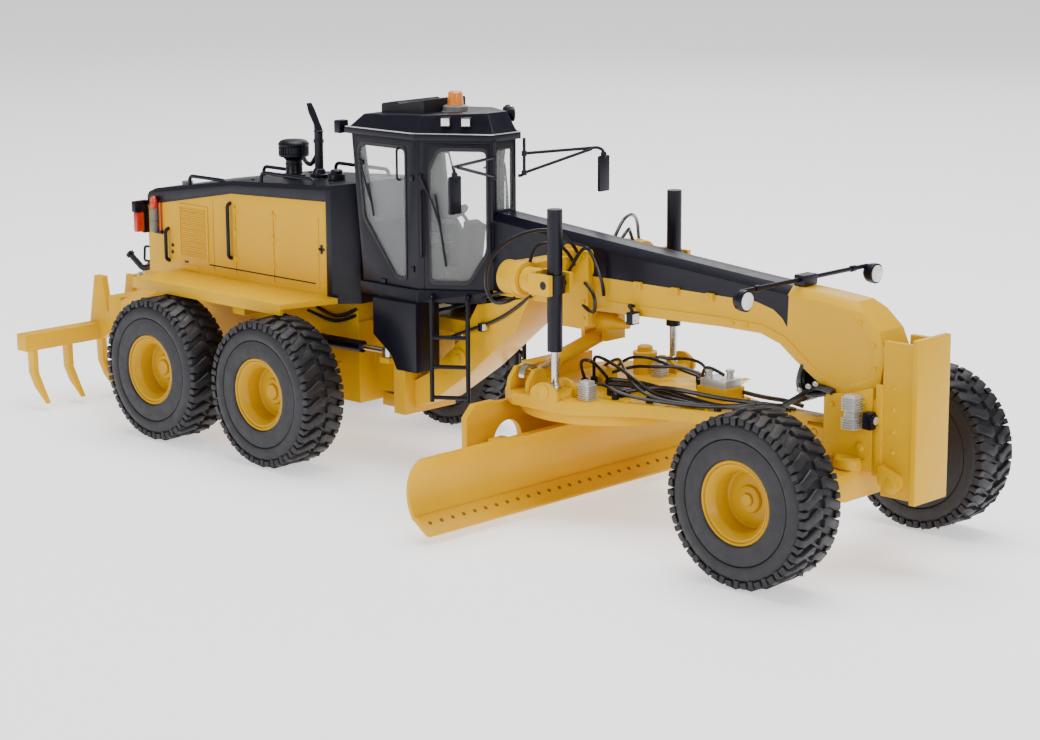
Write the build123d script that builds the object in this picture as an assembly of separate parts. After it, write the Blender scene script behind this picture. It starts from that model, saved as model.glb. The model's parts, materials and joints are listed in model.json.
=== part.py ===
from build123d import *
import math
import os

# Motor grader, a die-cast display model at 1:50. Millimetres.
# X runs forward, Y to the left and Z up. Stations along X are counted from the front axle,
# heights from the floor. The finished pieces are moved along X so that the origin lies under
# the middle of the whole model.

# Running gear
tyre_radius = 16.1
tyre_width = 11.0
tyre_bore = 7.8
lug_count = 24
lug_height = 1.0
lug_width = 2.3
half_track = 27.05
mid_axle = -128.9
rear_axle = -165.7
spindle_radius = 1.2
running_clearance = 0.05
rim_clearance = 0.06
axle_height = tyre_radius

# Front frame
beam_half_width = 3.8
beam_bevel = 1.5
panel_depth = 0.3
leg_half_width = 4.6
pivot_x = -118.0
pivot_pin_radius = 1.4

# Cab
cab_half_width = 12.4
cab_rear = -117.0
cab_rear_lean = 3.0
cab_pillar = -100.4
cab_front = -87.4
cab_front_half_width = 3.4
cab_floor = 39.5
cab_top = 70.5
cab_wall = 1.0
glass_thickness = 0.5
roof_overhang = 1.1
roof_thickness = 1.3
roof_crown_front = 4.3
roof_crown_rear = 2.6

# Rear frame and engine housing
housing_half_width = 12.5
housing_rear = -190.0
housing_kink = -159.8
housing_front = -128.4
tower_front = -122.5
tower_corner = 4.2
housing_floor = 33.0
hood_chamfer = 0.9
rail_half_width = 8.0
walkway_top = 34.6
walkway_half_width = 26.0
walkway_rear = -179.0
tandem_inner = half_track - 9.85
tandem_thickness = 3.4
tandem_radius = 4.8

# Blade group
circle_x = -58.0
circle_radius = 18.2
circle_bore = 12.5
circle_bottom = 19.4
circle_thickness = 2.1
drawbar_gap = 0.3
drawbar_thickness = 2.4
drawbar_pivot_x = -5.0
drawbar_pin_radius = 0.7
blade_length = 97.5
blade_radius = 8.1
blade_centre_x = -57.6
blade_centre_z = 9.2
blade_thickness = 0.9
blade_bottom = 1.6
lift_y = 17.7
lift_top = 61.2
lift_trunnion = 46.7
lift_x = -56.8
lift_barrel_foot = 33.4
lift_eye_z = 26.2
lift_eye_radius = 1.15
cup_height = 1.7
cup_play = 0.5
bracket_y = 22.5
bracket_half = 2.0
tip_pivot_x = -68.3
tip_pivot_z = 3.9
arm_plate_x = -70.3
arm_plate_thickness = 1.5
centreshift_x = -66.2
centreshift_pin = (8.4, 32.5)
centreshift_eye = (-15.2, 27.0)
centreshift_barrel_length = 15.9
centreshift_rod_length = 15.9
horn_inner = 2.3
horn_outer = 3.4
ball_radius = 1.15
socket_radius = 1.9
hook_radius = 1.6
ear_inner = 2.0
ear_thickness = 1.0
link_bottom = 35.3
barrel_radius = 1.5
rod_radius = 0.75
rod_clearance = 0.05

# Front axle
lean_pivot_y = half_track - 11.45
lean_pivot_z = 15.5
kingpin_y = half_track - 7.45
steer_arm = 4.8
steer_arm_inset = 1.0
steer_arm_bottom = 10.2
tie_rod_z = 8.5
tie_boss_gap = 0.95
spindle_end = half_track - 0.45
push_plate_front = 19.2
push_half_width = 5.0
push_bottom = 13.6
push_top = 43.8

# Ripper
ripper_pivot_x = -205.5
ripper_pivot_z = 19.0
ripper_arm_y = 10.9
ripper_pin = (-199.5, 34.6)
ripper_eye = (-211.0, 27.0)
articulation_pin = (-136.0, -11.5)
articulation_eye = (-112.0, -10.2)
articulation_z = 24.5
ripper_beam_x = -213.0
ripper_half_width = 33.0
shank_count = 7
shank_thickness = 1.4
shank_pitch = ripper_half_width / 3.3
tip_height = 1.6


def box(x0, x1, y0, y1, z0, z1):
    """Box between two corners."""
    return Pos((x0 + x1) / 2, (y0 + y1) / 2, (z0 + z1) / 2) * Box(abs(x1 - x0), abs(y1 - y0), abs(z1 - z0))


def side_prism(points, y0, y1):
    """Outline in X and Z, carried from y0 to y1."""
    outline = Face(Wire.make_polygon([Vector(x, y0, z) for x, z in points]))
    return extrude(outline, amount=y1 - y0, dir=(0, 1, 0))


def plan_prism(points, z0, z1):
    """Outline in X and Y, carried from z0 to z1."""
    outline = Face(Wire.make_polygon([Vector(x, y, z0) for x, y in points]))
    return extrude(outline, amount=z1 - z0, dir=(0, 0, 1))


def front_prism(points, x0, x1):
    """Outline in Y and Z, carried from x0 to x1."""
    outline = Face(Wire.make_polygon([Vector(x0, y, z) for y, z in points]))
    return extrude(outline, amount=x1 - x0, dir=(1, 0, 0))


def bar(start, end, radius):
    """Round bar between two points."""
    start, end = Vector(*start), Vector(*end)
    way = end - start
    return Plane(origin=start, z_dir=way) * Cylinder(radius, way.length, align=(Align.CENTER, Align.CENTER, Align.MIN))


def ball(place, radius):
    """Ball with its poles along X, so that a pin along X passes through them."""
    return Pos(*place) * (Rot(0, 90, 0) * Sphere(radius))


def other_side(shape):
    """The same piece on the left of the model."""
    return mirror(shape, about=Plane.XZ)


def both_sides(shape):
    """A piece and its twin on the other side, fused where they meet."""
    return shape + other_side(shape)


def mirrored_plan(points):
    """Closes a right-hand outline, given front to rear, with its twin on the left."""
    return points + [(x, -y) for x, y in reversed(points)]


def faceted_ring(profile, sides):
    """Solid of revolution about Y with flat facets. The profile is a closed list of radius and Y."""
    turn = 2 * math.pi / sides
    faces = []
    for (r0, y0), (r1, y1) in zip(profile, profile[1:] + profile[:1]):
        if r0 == 0 and r1 == 0:
            continue
        for k in range(sides):
            a, b = k * turn, (k + 1) * turn
            corners = [Vector(r0 * math.cos(a), y0, r0 * math.sin(a)), Vector(r1 * math.cos(a), y1, r1 * math.sin(a)),
                       Vector(r1 * math.cos(b), y1, r1 * math.sin(b)), Vector(r0 * math.cos(b), y0, r0 * math.sin(b))]
            if r0 == 0:
                corners = corners[:3]
            elif r1 == 0:
                corners = [corners[0], corners[1], corners[3]]
            faces.append(Face(Wire.make_polygon(corners)))
    return Solid(Shell(faces))


def at_wheel(shape, x, side):
    """Places a wheel piece made about the origin with its outer face towards -Y. side is -1 right, 1 left."""
    turned = shape if side < 0 else Rot(0, 0, 180) * shape
    return Pos(x, side * half_track, axle_height) * turned


# Wheels
def make_tyre():
    tread = tyre_radius - lug_height
    shoulder = tyre_radius - 3.0
    edge = tyre_width / 2
    crown = edge - 1.3
    body = faceted_ring([(tyre_bore, -edge + 0.3), (shoulder, -edge), (tread, -crown), (tread, crown),
                         (shoulder, edge), (tyre_bore, edge - 0.3)], lug_count)
    lug_length = edge + 0.1
    lug_reach = 2.4
    top = math.sqrt(tyre_radius ** 2 - lug_reach ** 2)
    lug = Pos(0, lug_length / 2, (shoulder + top) / 2) * (
        Rot(0, 0, -28) * Box(lug_width, lug_length * 1.08, top - shoulder))
    lug = lug & Pos(0, edge / 2, tyre_radius / 2) * Box(8, edge - 0.4, tyre_radius + 2)
    lugs = []
    for k in range(lug_count):
        angle = 360 * k / lug_count
        lugs.append(Rot(0, angle, 0) * lug)
        lugs.append(Rot(0, angle + 180 / lug_count, 0) * mirror(lug, about=Plane.XZ))
    return body.fuse(*lugs)


def make_rim(dish_depth, hub_radius, hub_length):
    """Deep dished rim; dish_depth is measured from the outer lip."""
    lip = tyre_width / 2
    outer = tyre_bore - rim_clearance
    floor = -lip + dish_depth
    back = floor + 1.1
    profile = [(0, floor - hub_length), (hub_radius * 0.8, floor - hub_length), (hub_radius, floor - hub_length + 0.3),
               (hub_radius, floor), (outer - 2.3, floor), (outer - 1.4, -lip + 1.0), (outer - 0.8, -lip - 0.1),
               (outer, -lip + 0.1), (outer, lip - 0.3), (outer - 0.9, lip - 0.3), (outer - 1.2, back),
               (spindle_radius + 0.9, back), (spindle_radius + 0.9, lip - 1.2), (0, lip - 1.2)]
    rim = faceted_ring(profile, lug_count)
    bore = Pos(0, floor + 0.4, 0) * (Rot(-90, 0, 0) * Cylinder(
        spindle_radius + running_clearance, tyre_width, align=(Align.CENTER, Align.CENTER, Align.MIN)))
    return rim - bore


# Front axle, leaning and steering pieces
def make_axle_beam():
    end = lean_pivot_y - 3.2
    bow = [(-end, 17.6), (-9, 18.0), (-6, 18.4), (6, 18.4), (9, 18.0), (end, 17.6),
           (end, 13.4), (8, 12.6), (-8, 12.6), (-end, 13.4)]
    tongue = box(-1.4, 1.4, -lean_pivot_y, -end, lean_pivot_z - 1.5, lean_pivot_z + 1.5)
    tongue = tongue + bar((-1.4, -lean_pivot_y, lean_pivot_z), (1.4, -lean_pivot_y, lean_pivot_z), 1.5)
    tongue = tongue - bar((-2, -lean_pivot_y, lean_pivot_z), (2, -lean_pivot_y, lean_pivot_z), 0.7 + running_clearance)
    block = side_prism([(-1.6, 18.0), (9.4, 18.0), (9.4, 33.92), (3.6, 31.9), (-0.9, 31.3), (-1.6, 31.3)], -4.8, 4.8)
    z = drawbar_pivot_z()
    cheek = box(drawbar_pivot_x - 1.6, -1.5, -3.0, -1.75, z - 1.4, z + 1.4)
    cheek = cheek - bar((drawbar_pivot_x, -4, z), (drawbar_pivot_x, -1, z), drawbar_pin_radius + running_clearance)
    return front_prism(bow, -3.4, 6.4) + both_sides(tongue) + block + both_sides(cheek)


def make_lean_carrier():
    """Right side piece that straddles the axle end and carries the kingpin."""
    y = -lean_pivot_y
    k = -kingpin_y
    ears = box(1.55, 2.8, y - 1.9, y + 1.8, 13.2, 20.0) + box(-2.8, -1.55, y - 1.9, y + 1.8, 13.2, 20.0)
    pin = bar((-2.8, y, lean_pivot_z), (2.8, y, lean_pivot_z), 0.7)
    block = box(-2.8, 2.8, k + 1.1, y - 1.8, 12.0, 21.4)
    top = box(-1.2, 1.2, k, k + 1.2, 19.8, 21.4) + bar((0, k, 19.8), (0, k, 21.4), 1.2)
    bottom = box(-1.2, 1.2, k, k + 1.2, 12.0, 13.4) + bar((0, k, 12.0), (0, k, 13.4), 1.2)
    kingpin = bar((0, k, 12.2), (0, k, 21.2), 0.7)
    return ears + pin + block + top + bottom + kingpin


def make_knuckle():
    k = -kingpin_y
    body = bar((0, k, 13.7), (0, k, 19.5), 1.0) + box(-1.0, 1.0, k - 2.4, k, 13.7, 18.4)
    drop = box(-1.0, 1.0, k - 2.4, k - 1.4, steer_arm_bottom, 18.4)
    end = k + steer_arm_inset
    foot = plan_prism([(1.0, k - 2.4), (-1.4, k - 2.4), (-3.4, end - 0.6), (-steer_arm - 0.7, end - 0.6),
                       (-steer_arm - 0.7, end + 0.6), (-steer_arm + 0.6, end + 0.6), (1.0, k - 1.4)],
                      steer_arm_bottom, steer_arm_bottom + 1.2)
    spindle = bar((0, k - 0.6, axle_height), (0, -spindle_end, axle_height), spindle_radius)
    bore = bar((0, k, 13), (0, k, 20), 0.7 + running_clearance)
    return (body + drop + foot + spindle) - bore


def make_tie_rod():
    end = kingpin_y - steer_arm_inset
    rod = bar((-steer_arm, -end, tie_rod_z), (-steer_arm, end, tie_rod_z), 0.5)
    boss = bar((-steer_arm, -end, tie_rod_z - 0.6), (-steer_arm, -end, steer_arm_bottom - tie_boss_gap), 0.6)
    return rod + both_sides(boss)


# Front frame
def make_beam():
    top = [(cab_front + 0.3, 55.8), (-52.7, 52.9), (-18, 50.2), (-4, 49.4), (4, 48.7), (9.6, 44.0), (11.2, 40.5)]
    bottom = [(10.2, 34.2), (3.6, 31.9), (-0.9, 31.3), (-5.5, 34.0), (-9, 36.2), (-12.6, 38.8),
              (-17.3, 40.2), (-27, 40.2), (-57.5, 39.2), (cab_front + 0.3, 39.0)]
    beam = side_prism(top + bottom, -beam_half_width, beam_half_width)
    crest = [e for e in beam.edges() if abs(abs(e.center().Y) - beam_half_width) < 0.01 and e.center().Z > 48.5
             and e.center().X > cab_front + 1]
    beam = chamfer(crest, beam_bevel)
    panel = side_prism([(-56, 41.4), (-27, 42.0), (-16.6, 41.8), (-11.4, 40.2), (-7.6, 37.4), (-4.0, 34.8), (-0.2, 33.0),
                        (3.2, 33.6), (7.9, 35.4), (8.9, 39.9), (7.4, 43.4), (2.9, 46.9), (-4, 47.7), (-17, 48.6), (-56, 51.2)],
                       beam_half_width - panel_depth, beam_half_width + 1)
    beam = beam - both_sides(panel)
    leg = side_prism([(-76, 39.6), (-80, 32.4), (-93, 21.8), (-105, 13.6), (-113.4, 10.4), (-113.4, 15.8),
                      (-106, 19.6), (-96, 28.4), (-91, 36.4)], -leg_half_width, leg_half_width)
    return beam + leg


def make_front_hitch():
    ear_half = 3.6
    lower = box(pivot_x - 3.2, -111, -ear_half, ear_half, 10.4, 13.2)
    upper = box(pivot_x - 3.2, -94, -ear_half, ear_half, 29.4, 32.2)
    post = box(-113.4, -110, -7.5, 7.5, 10.4, 32.2)
    pin = bar((pivot_x, 0, 10.4), (pivot_x, 0, 32.2), pivot_pin_radius)
    ex, ey = articulation_eye
    lug = box(ex - 1.4, ex + 1.4, ey - 1.4, -7.4, articulation_z - 2.4, articulation_z - 1.25)
    lug = lug + bar((ex, ey, articulation_z - 2.0), (ex, ey, articulation_z + 1.5), 0.4)
    return lower + upper + post + pin + both_sides(lug)


def drawbar_pivot_z():
    return circle_bottom + circle_thickness + drawbar_gap + drawbar_thickness / 2


def make_drawbar_link():
    """Cross block of the drawbar's front joint: one pin across, one upright."""
    z = drawbar_pivot_z()
    block = box(drawbar_pivot_x - 1.2, drawbar_pivot_x + 1.2, -1.6, 1.6, z - 1.4, z + 1.4)
    across = bar((drawbar_pivot_x, -3.0, z), (drawbar_pivot_x, 3.0, z), drawbar_pin_radius)
    upright = bar((drawbar_pivot_x, 0, z - 2.7), (drawbar_pivot_x, 0, z + 2.7), drawbar_pin_radius)
    return block + across + upright


def make_push_block():
    plate = box(push_plate_front - 1.3, push_plate_front, -push_half_width, push_half_width, push_bottom, push_top)
    flange = box(11.4, push_plate_front - 1.3, -push_half_width + 0.4, -push_half_width + 1.6,
                 push_bottom + 0.6, push_top - 1.0)
    web = box(9.4, 11.6, -push_half_width + 0.4, push_half_width - 0.4, push_bottom + 4, push_top - 12)
    tongue = box(11.4, push_plate_front - 1.3, -2.6, 2.6, push_bottom + 0.6, push_bottom + 2.6)
    hole = Pos(14.4, 0, push_bottom) * Cylinder(0.8, 10)
    return plate + both_sides(flange) + web + (tongue - hole)


# Cab
def cab_outline(grow, rear):
    return [(cab_front + grow, -cab_front_half_width - grow * 0.35), (cab_pillar + grow * 0.3, -cab_half_width - grow),
            (rear - grow, -cab_half_width - grow)]


def cab_prism(grow, z0, z1, rear0, rear1):
    """Six-sided cab body between two heights, with its rear wall leaning from rear0 to rear1."""
    low = mirrored_plan(cab_outline(grow, rear0))
    high = mirrored_plan(cab_outline(grow, rear1))
    bottom = Face(Wire.make_polygon([Vector(x, y, z0) for x, y in low]))
    top = Face(Wire.make_polygon([Vector(x, y, z1) for x, y in high]))
    return loft([bottom, top], ruled=True)


def door_plane():
    """Plane of the right door: origin at its rear lower corner, X along the sill, Y up."""
    start = Vector(cab_pillar, -cab_half_width, cab_floor)
    along = Vector(cab_front - cab_pillar, cab_half_width - cab_front_half_width, 0).normalized()
    return Plane(origin=start, x_dir=along, z_dir=along.cross(Vector(0, 0, 1)))


door_run = math.hypot(cab_front - cab_pillar, cab_half_width - cab_front_half_width)
cab_height = cab_top - cab_floor
door_window = [(2.6, 1.6), (door_run - 5.2, 1.6), (door_run - 1.3, 8.0), (door_run - 1.3, cab_height - 2.0),
               (4.6, cab_height - 2.0), (2.6, cab_height - 6.0)]
quarter_window = [(cab_pillar - 3.4, cab_floor + 1.8), (cab_pillar - 6.4, cab_floor + 1.8), (cab_rear + 0.6, cab_floor + 13.5),
                  (cab_rear - 1.0, cab_top - 3.2), (cab_rear + 0.4, cab_top - 2.0), (cab_pillar - 3.4, cab_top - 2.0)]
front_window = [(-cab_front_half_width + 0.9, cab_floor + 16.5), (cab_front_half_width - 0.9, cab_floor + 16.5),
                (cab_front_half_width - 0.9, cab_top - 1.8), (-cab_front_half_width + 0.9, cab_top - 1.8)]
rear_window = [(-8.6, cab_floor + 12), (8.6, cab_floor + 12), (9.6, cab_top - 2.4), (-9.6, cab_top - 2.4)]


def door_prism(points, depth0, depth1):
    plane = door_plane()
    outline = Face(Wire.make_polygon([plane.from_local_coords(Vector(u, v, -depth0)) for u, v in points]))
    return extrude(outline, amount=-(depth1 - depth0), dir=plane.z_dir)


def make_cab():
    shell = cab_prism(0, cab_floor, cab_top, cab_rear, cab_rear - cab_rear_lean)
    room = cab_prism(-cab_wall, cab_floor, cab_top, cab_rear, cab_rear - cab_rear_lean)
    frame = shell - room
    door_panel = [(1.4, 0), (door_run - 0.5, 0), (door_run - 0.5, cab_height - 0.6), (1.4, cab_height - 0.6)]
    door = door_prism(door_panel, -1, cab_wall + 0.6) & (shell - room)
    frame = frame - both_sides(door_prism(door_panel, -1, cab_wall + 2))
    door = door - door_prism(door_window, -1, cab_wall + 3)
    frame = frame - side_prism(quarter_window, -cab_half_width - 1, cab_half_width + 1)
    frame = frame - front_prism(front_window, cab_front - 3, cab_front + 1)
    frame = frame - front_prism(rear_window, cab_rear - 5, cab_rear + 2)
    glass = [both_sides(door_prism(door_window, 0.25, 0.25 + glass_thickness)),
             both_sides(side_prism(quarter_window, -cab_half_width + 0.25, -cab_half_width + 0.25 + glass_thickness)),
             front_prism(front_window, cab_front - 0.25 - glass_thickness, cab_front - 0.25)]
    rear_glass = cab_prism(-0.25, cab_floor, cab_top, cab_rear, cab_rear - cab_rear_lean)
    rear_glass = rear_glass - cab_prism(-0.25 - glass_thickness, cab_floor, cab_top, cab_rear, cab_rear - cab_rear_lean)
    glass.append(rear_glass & front_prism(rear_window, cab_rear - 5, cab_rear + 2))
    return frame, both_sides(door), Compound(children=[s for g in glass for s in g.solids()])


def roof_top(x):
    """Height of the crown at a station along X: it falls towards the rear."""
    rear = cab_rear - cab_rear_lean
    share = (x - rear) / (cab_front - rear)
    return cab_top + roof_thickness + roof_crown_rear + share * (roof_crown_front - roof_crown_rear)


def make_roof():
    rear = cab_rear - cab_rear_lean
    slab = cab_prism(roof_overhang, cab_top, cab_top + roof_thickness, rear, rear)
    low = mirrored_plan(cab_outline(roof_overhang * 0.3, rear))
    crown_low = Face(Wire.make_polygon([Vector(x, y, cab_top + roof_thickness) for x, y in low]))
    high = mirrored_plan(cab_outline(-1.9, rear))
    crown_high = Face(Wire.make_polygon([Vector(x, y, roof_top(x)) for x, y in high]))
    return slab + loft([crown_low, crown_high], ruled=True)


def make_interior():
    seat = box(-112.5, -105.5, -3.6, 3.6, cab_floor + 5.0, cab_floor + 7.6)
    back = side_prism([(-113.6, cab_floor + 7.6), (-111.4, cab_floor + 7.6), (-112.6, cab_floor + 19), (-114.2, cab_floor + 19)],
                      -3.2, 3.2)
    stand = box(-111, -107, -2, 2, cab_floor, cab_floor + 5.0)
    console = side_prism([(-99.5, cab_floor), (-96.5, cab_floor), (-94.6, cab_floor + 12.5), (-97.4, cab_floor + 13.5)], -2.0, 2.0)
    return seat + back + stand, console


def make_platform():
    deck = cab_prism(0.6, cab_floor - 2.6, cab_floor, cab_rear + 0.6, cab_rear)
    hollow = box(-200, -60, -leg_half_width, leg_half_width, 0, cab_floor - 0.6)
    hollow = hollow + box(cab_front - 0.6, -60, -leg_half_width, leg_half_width, 0, cab_floor + 1)
    side_box = side_prism([(-98.6, 22.3), (-104.6, 22.3), (-106.2, 25.2), (-111.6, 29.0), (-111.6, cab_floor - 2.6),
                           (-98.6, cab_floor - 2.6)], -cab_half_width - 2.6, -8.2)
    deck = deck - hollow
    return deck + both_sides(side_box)


def make_ladder():
    """Right-hand ladder, parallel to the door sill."""
    plane = door_plane()
    pieces = []
    stand_off = 2.6
    for run in (3.2, 10.8):
        foot = plane.from_local_coords(Vector(run, 16.2 - cab_floor, stand_off))
        head = plane.from_local_coords(Vector(run, -0.8, stand_off))
        pieces.append(bar(foot, head, 0.55))
    for rise in (17.6, 23.8, 30.0):
        a = plane.from_local_coords(Vector(3.2, rise - cab_floor, stand_off))
        b = plane.from_local_coords(Vector(10.8, rise - cab_floor, stand_off))
        pieces.append(bar(a, b, 0.45))
    for run in (3.2, 10.8):
        a = plane.from_local_coords(Vector(run, -1.6, stand_off))
        b = plane.from_local_coords(Vector(run, -1.6, 0.85))
        pieces.append(bar(a, b, 0.45))
    ladder = pieces[0].fuse(*pieces[1:])
    return ladder


# Blade lift gear on the front frame
def make_saddle():
    """Lift arms and the link bar casting that clasps the front frame."""
    y_in = beam_half_width
    cheek = box(-69.5, -59.5, -y_in - 1.4, -y_in, 36.0, 51.0)
    arm = box(-69.0, -64.2, -lift_y + 2.6, -y_in - 1.0, 43.6, 49.6)
    drum = bar((-69.4, -lift_y, lift_trunnion), (-64.4, -lift_y, lift_trunnion), 3.3)
    pin = bar((-64.6, -lift_y, lift_trunnion), (-60.4, -lift_y, lift_trunnion), 1.0)
    link = box(-68.0, -60.5, -y_in - 1.4, y_in + 1.4, link_bottom, 38.9)
    nose = Plane(origin=(-60.6, 0, 36.6), z_dir=(1, 0, -0.06)) * Cone(
        2.1, 0.5, 7.4, align=(Align.CENTER, Align.CENTER, Align.MIN))
    pin_y, pin_z = centreshift_pin
    horn = box(centreshift_x - horn_outer, centreshift_x + horn_outer, y_in - 2, y_in + 1.4, link_bottom, 38.0)
    for x in (centreshift_x - horn_outer, centreshift_x + horn_inner):
        horn = horn + box(x, x + horn_outer - horn_inner, y_in, pin_y + 1.3, pin_z - 1.3, 38.0)
    shaft = bar((centreshift_x - horn_outer, pin_y, pin_z), (centreshift_x + horn_outer, pin_y, pin_z), 0.5)
    return both_sides(cheek + arm + drum + pin) + link + nose + horn + shaft


def make_yoke():
    y, z = -lift_y, lift_trunnion
    drum = bar((-64.0, y, z), (-60.0, y, z), 2.5)
    drum = drum - bar((-65, y, z), (-59.0, y, z), 1.0 + running_clearance)
    plate = box(-60.6, -59.6, y - 2.6, y + 2.6, z - 2.4, z + 2.4)
    plate = plate - bar((-65, y, z), (-59.9, y, z), 1.0 + running_clearance)
    ear = box(-60.0, lift_x + 1.6, y - 3.4, y - 2.4, z - 2.0, z + 2.0)
    ear = ear - bar((lift_x, y - 5, z), (lift_x, y - 1, z), 0.8 + running_clearance)
    ear_in = box(-60.0, lift_x + 1.6, y + 2.4, y + 3.4, z - 2.0, z + 2.0)
    ear_in = ear_in - bar((lift_x, y + 1, z), (lift_x, y + 5, z), 0.8 + running_clearance)
    side = box(-60.6, -59.6, y - 3.4, y + 3.4, z - 2.0, z + 2.0) - bar((-65, y, z), (-59.0, y, z), 1.0 + running_clearance)
    return drum + plate + side + ear + ear_in


def make_lift_barrel():
    """Right lift cylinder barrel with its trunnion stubs, made upright."""
    y = -lift_y
    tube = bar((lift_x, y, lift_barrel_foot), (lift_x, y, lift_top), barrel_radius)
    collar = bar((lift_x, y, lift_trunnion - 1.8), (lift_x, y, lift_trunnion + 1.8), barrel_radius + 0.55)
    stubs = bar((lift_x, y - 3.3, lift_trunnion), (lift_x, y + 3.3, lift_trunnion), 0.8)
    bore = bar((lift_x, y, lift_eye_z), (lift_x, y, lift_top - 1.2), rod_radius + rod_clearance)
    return tube + collar + stubs - bore


def make_lift_rod():
    y = -lift_y
    rod = bar((lift_x, y, lift_eye_z), (lift_x, y, lift_trunnion + 2), rod_radius)
    eye = Pos(lift_x, y, lift_eye_z) * Sphere(lift_eye_radius)
    return rod + eye


def cylinder_pair(pin, eye, barrel_length, rod_length, barrel_r, rod_r, hole_r):
    """Barrel and rod between a pin and an eye. Returns both, each with its own bored end."""
    pin, eye = Vector(*pin), Vector(*eye)
    way = (eye - pin).normalized()
    barrel = bar(pin, pin + way * barrel_length, barrel_r)
    barrel = barrel - bar(pin + way * (hole_r + 0.7), pin + way * (barrel_length + 1), rod_r + rod_clearance)
    rod = bar(eye - way * rod_length, eye, rod_r)
    return barrel, rod


def make_centreshift():
    """Ball on the saddle's shaft, barrel with a socket round it, and rod with a hook over the drawbar's ball."""
    pin = Vector(centreshift_x, *centreshift_pin)
    eye = Vector(centreshift_x, *centreshift_eye)
    way = (eye - pin).normalized()
    bored = ball(pin, ball_radius) - bar(pin - Vector(3, 0, 0), pin + Vector(3, 0, 0), 0.5 + running_clearance)
    socket = ball(pin, socket_radius) & Pos(*pin) * Box(1.8, 9, 9)
    barrel = socket + bar(pin + way * 0.6, pin + way * centreshift_barrel_length, barrel_radius)
    barrel = barrel - ball(pin, ball_radius + running_clearance)
    barrel = barrel - bar(pin + way * (socket_radius + 0.1), pin + way * 40, 0.7 + rod_clearance)
    hook = bar(eye - Vector(0.7, 0, 0), eye + Vector(0.7, 0, 0), hook_radius + 0.6)
    rod = hook + bar(eye - way * centreshift_rod_length, eye, 0.7)
    rod = rod - bar(eye - Vector(2, 0, 0), eye + Vector(2, 0, 0), hook_radius)
    rod = rod - Pos(eye.X, eye.Y, eye.Z - 3.3) * Box(4, 6, 6)
    return bored, barrel, rod


# Drawbar, circle and blade
def make_drawbar():
    low = circle_bottom + circle_thickness + drawbar_gap
    high = low + drawbar_thickness
    z = drawbar_pivot_z()
    outline = mirrored_plan([(-10.5, -1.6), (-14, -2.6), (-40, -12.0), (-52, -20.2), (-66, -20.2), (-70.5, -17.5), (-75, -10.0)])
    plate = plan_prism(outline, low, high)
    gap = plan_prism(mirrored_plan([(-16, -0.7), (-27, -3.0)]), low - 1, high + 1)
    tines = side_prism([(drawbar_pivot_x + 1.3, z + 1.6), (drawbar_pivot_x + 1.3, z + 2.7), (-13, z + 2.7), (-20, high),
                        (-20, low), (-13, z - 2.7), (drawbar_pivot_x + 1.3, z - 2.7), (drawbar_pivot_x + 1.3, z - 1.6),
                        (-7.6, z - 1.6), (-7.6, z + 1.6)], -1.5, 1.5)
    tines = tines - bar((drawbar_pivot_x, 0, z - 4), (drawbar_pivot_x, 0, z + 4), drawbar_pin_radius + running_clearance)
    cup = box(lift_x - 2.6, lift_x + 2.6, -lift_y - 2.7, -lift_y + 2.7, high, high + cup_height)
    trough = lift_eye_radius + 0.3
    for y in (-lift_y - cup_play, -lift_y + cup_play):
        cup = cup - bar((lift_x - 5, y, lift_eye_z), (lift_x + 5, y, lift_eye_z), trough)
    cup = cup - box(lift_x - 5, lift_x + 5, -lift_y - cup_play, -lift_y + cup_play, lift_eye_z - trough, high + 5)
    rear_bridge = box(-74.6, -70.8, -8.6, 8.6, high, high + 3.4)
    valve_seat = box(-37.0, -29.8, 1.6, 7.4, high, high + 2.2)
    drive = Pos(-59.0, 11.5, high) * Cylinder(2.4, 4.0, align=(Align.CENTER, Align.CENTER, Align.MIN))
    drive = drive + box(-61.6, -58.4, -1.2, 2.4, high, high + 2.6)
    eye_y, eye_z = centreshift_eye
    ears = []
    for x in (centreshift_x - ear_inner - ear_thickness, centreshift_x + ear_inner):
        rib = front_prism([(eye_y - 3.4, high), (eye_y - 3.0, high + 2.2), (eye_y - 1.2, eye_z + 1.5), (eye_y + 1.0, eye_z + 1.5),
                           (eye_y + 1.8, eye_z), (eye_y + 2.4, high)], x, x + ear_thickness)
        ears.append(rib)
    reach = ear_inner + ear_thickness
    stud = bar((centreshift_x - reach, eye_y, eye_z), (centreshift_x + reach, eye_y, eye_z), 0.5)
    stud = stud + ball((centreshift_x, eye_y, eye_z), 0.85)
    return (plate - gap) + tines + both_sides(cup) + rear_bridge + valve_seat + drive + ears[0] + ears[1] + stud


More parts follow.
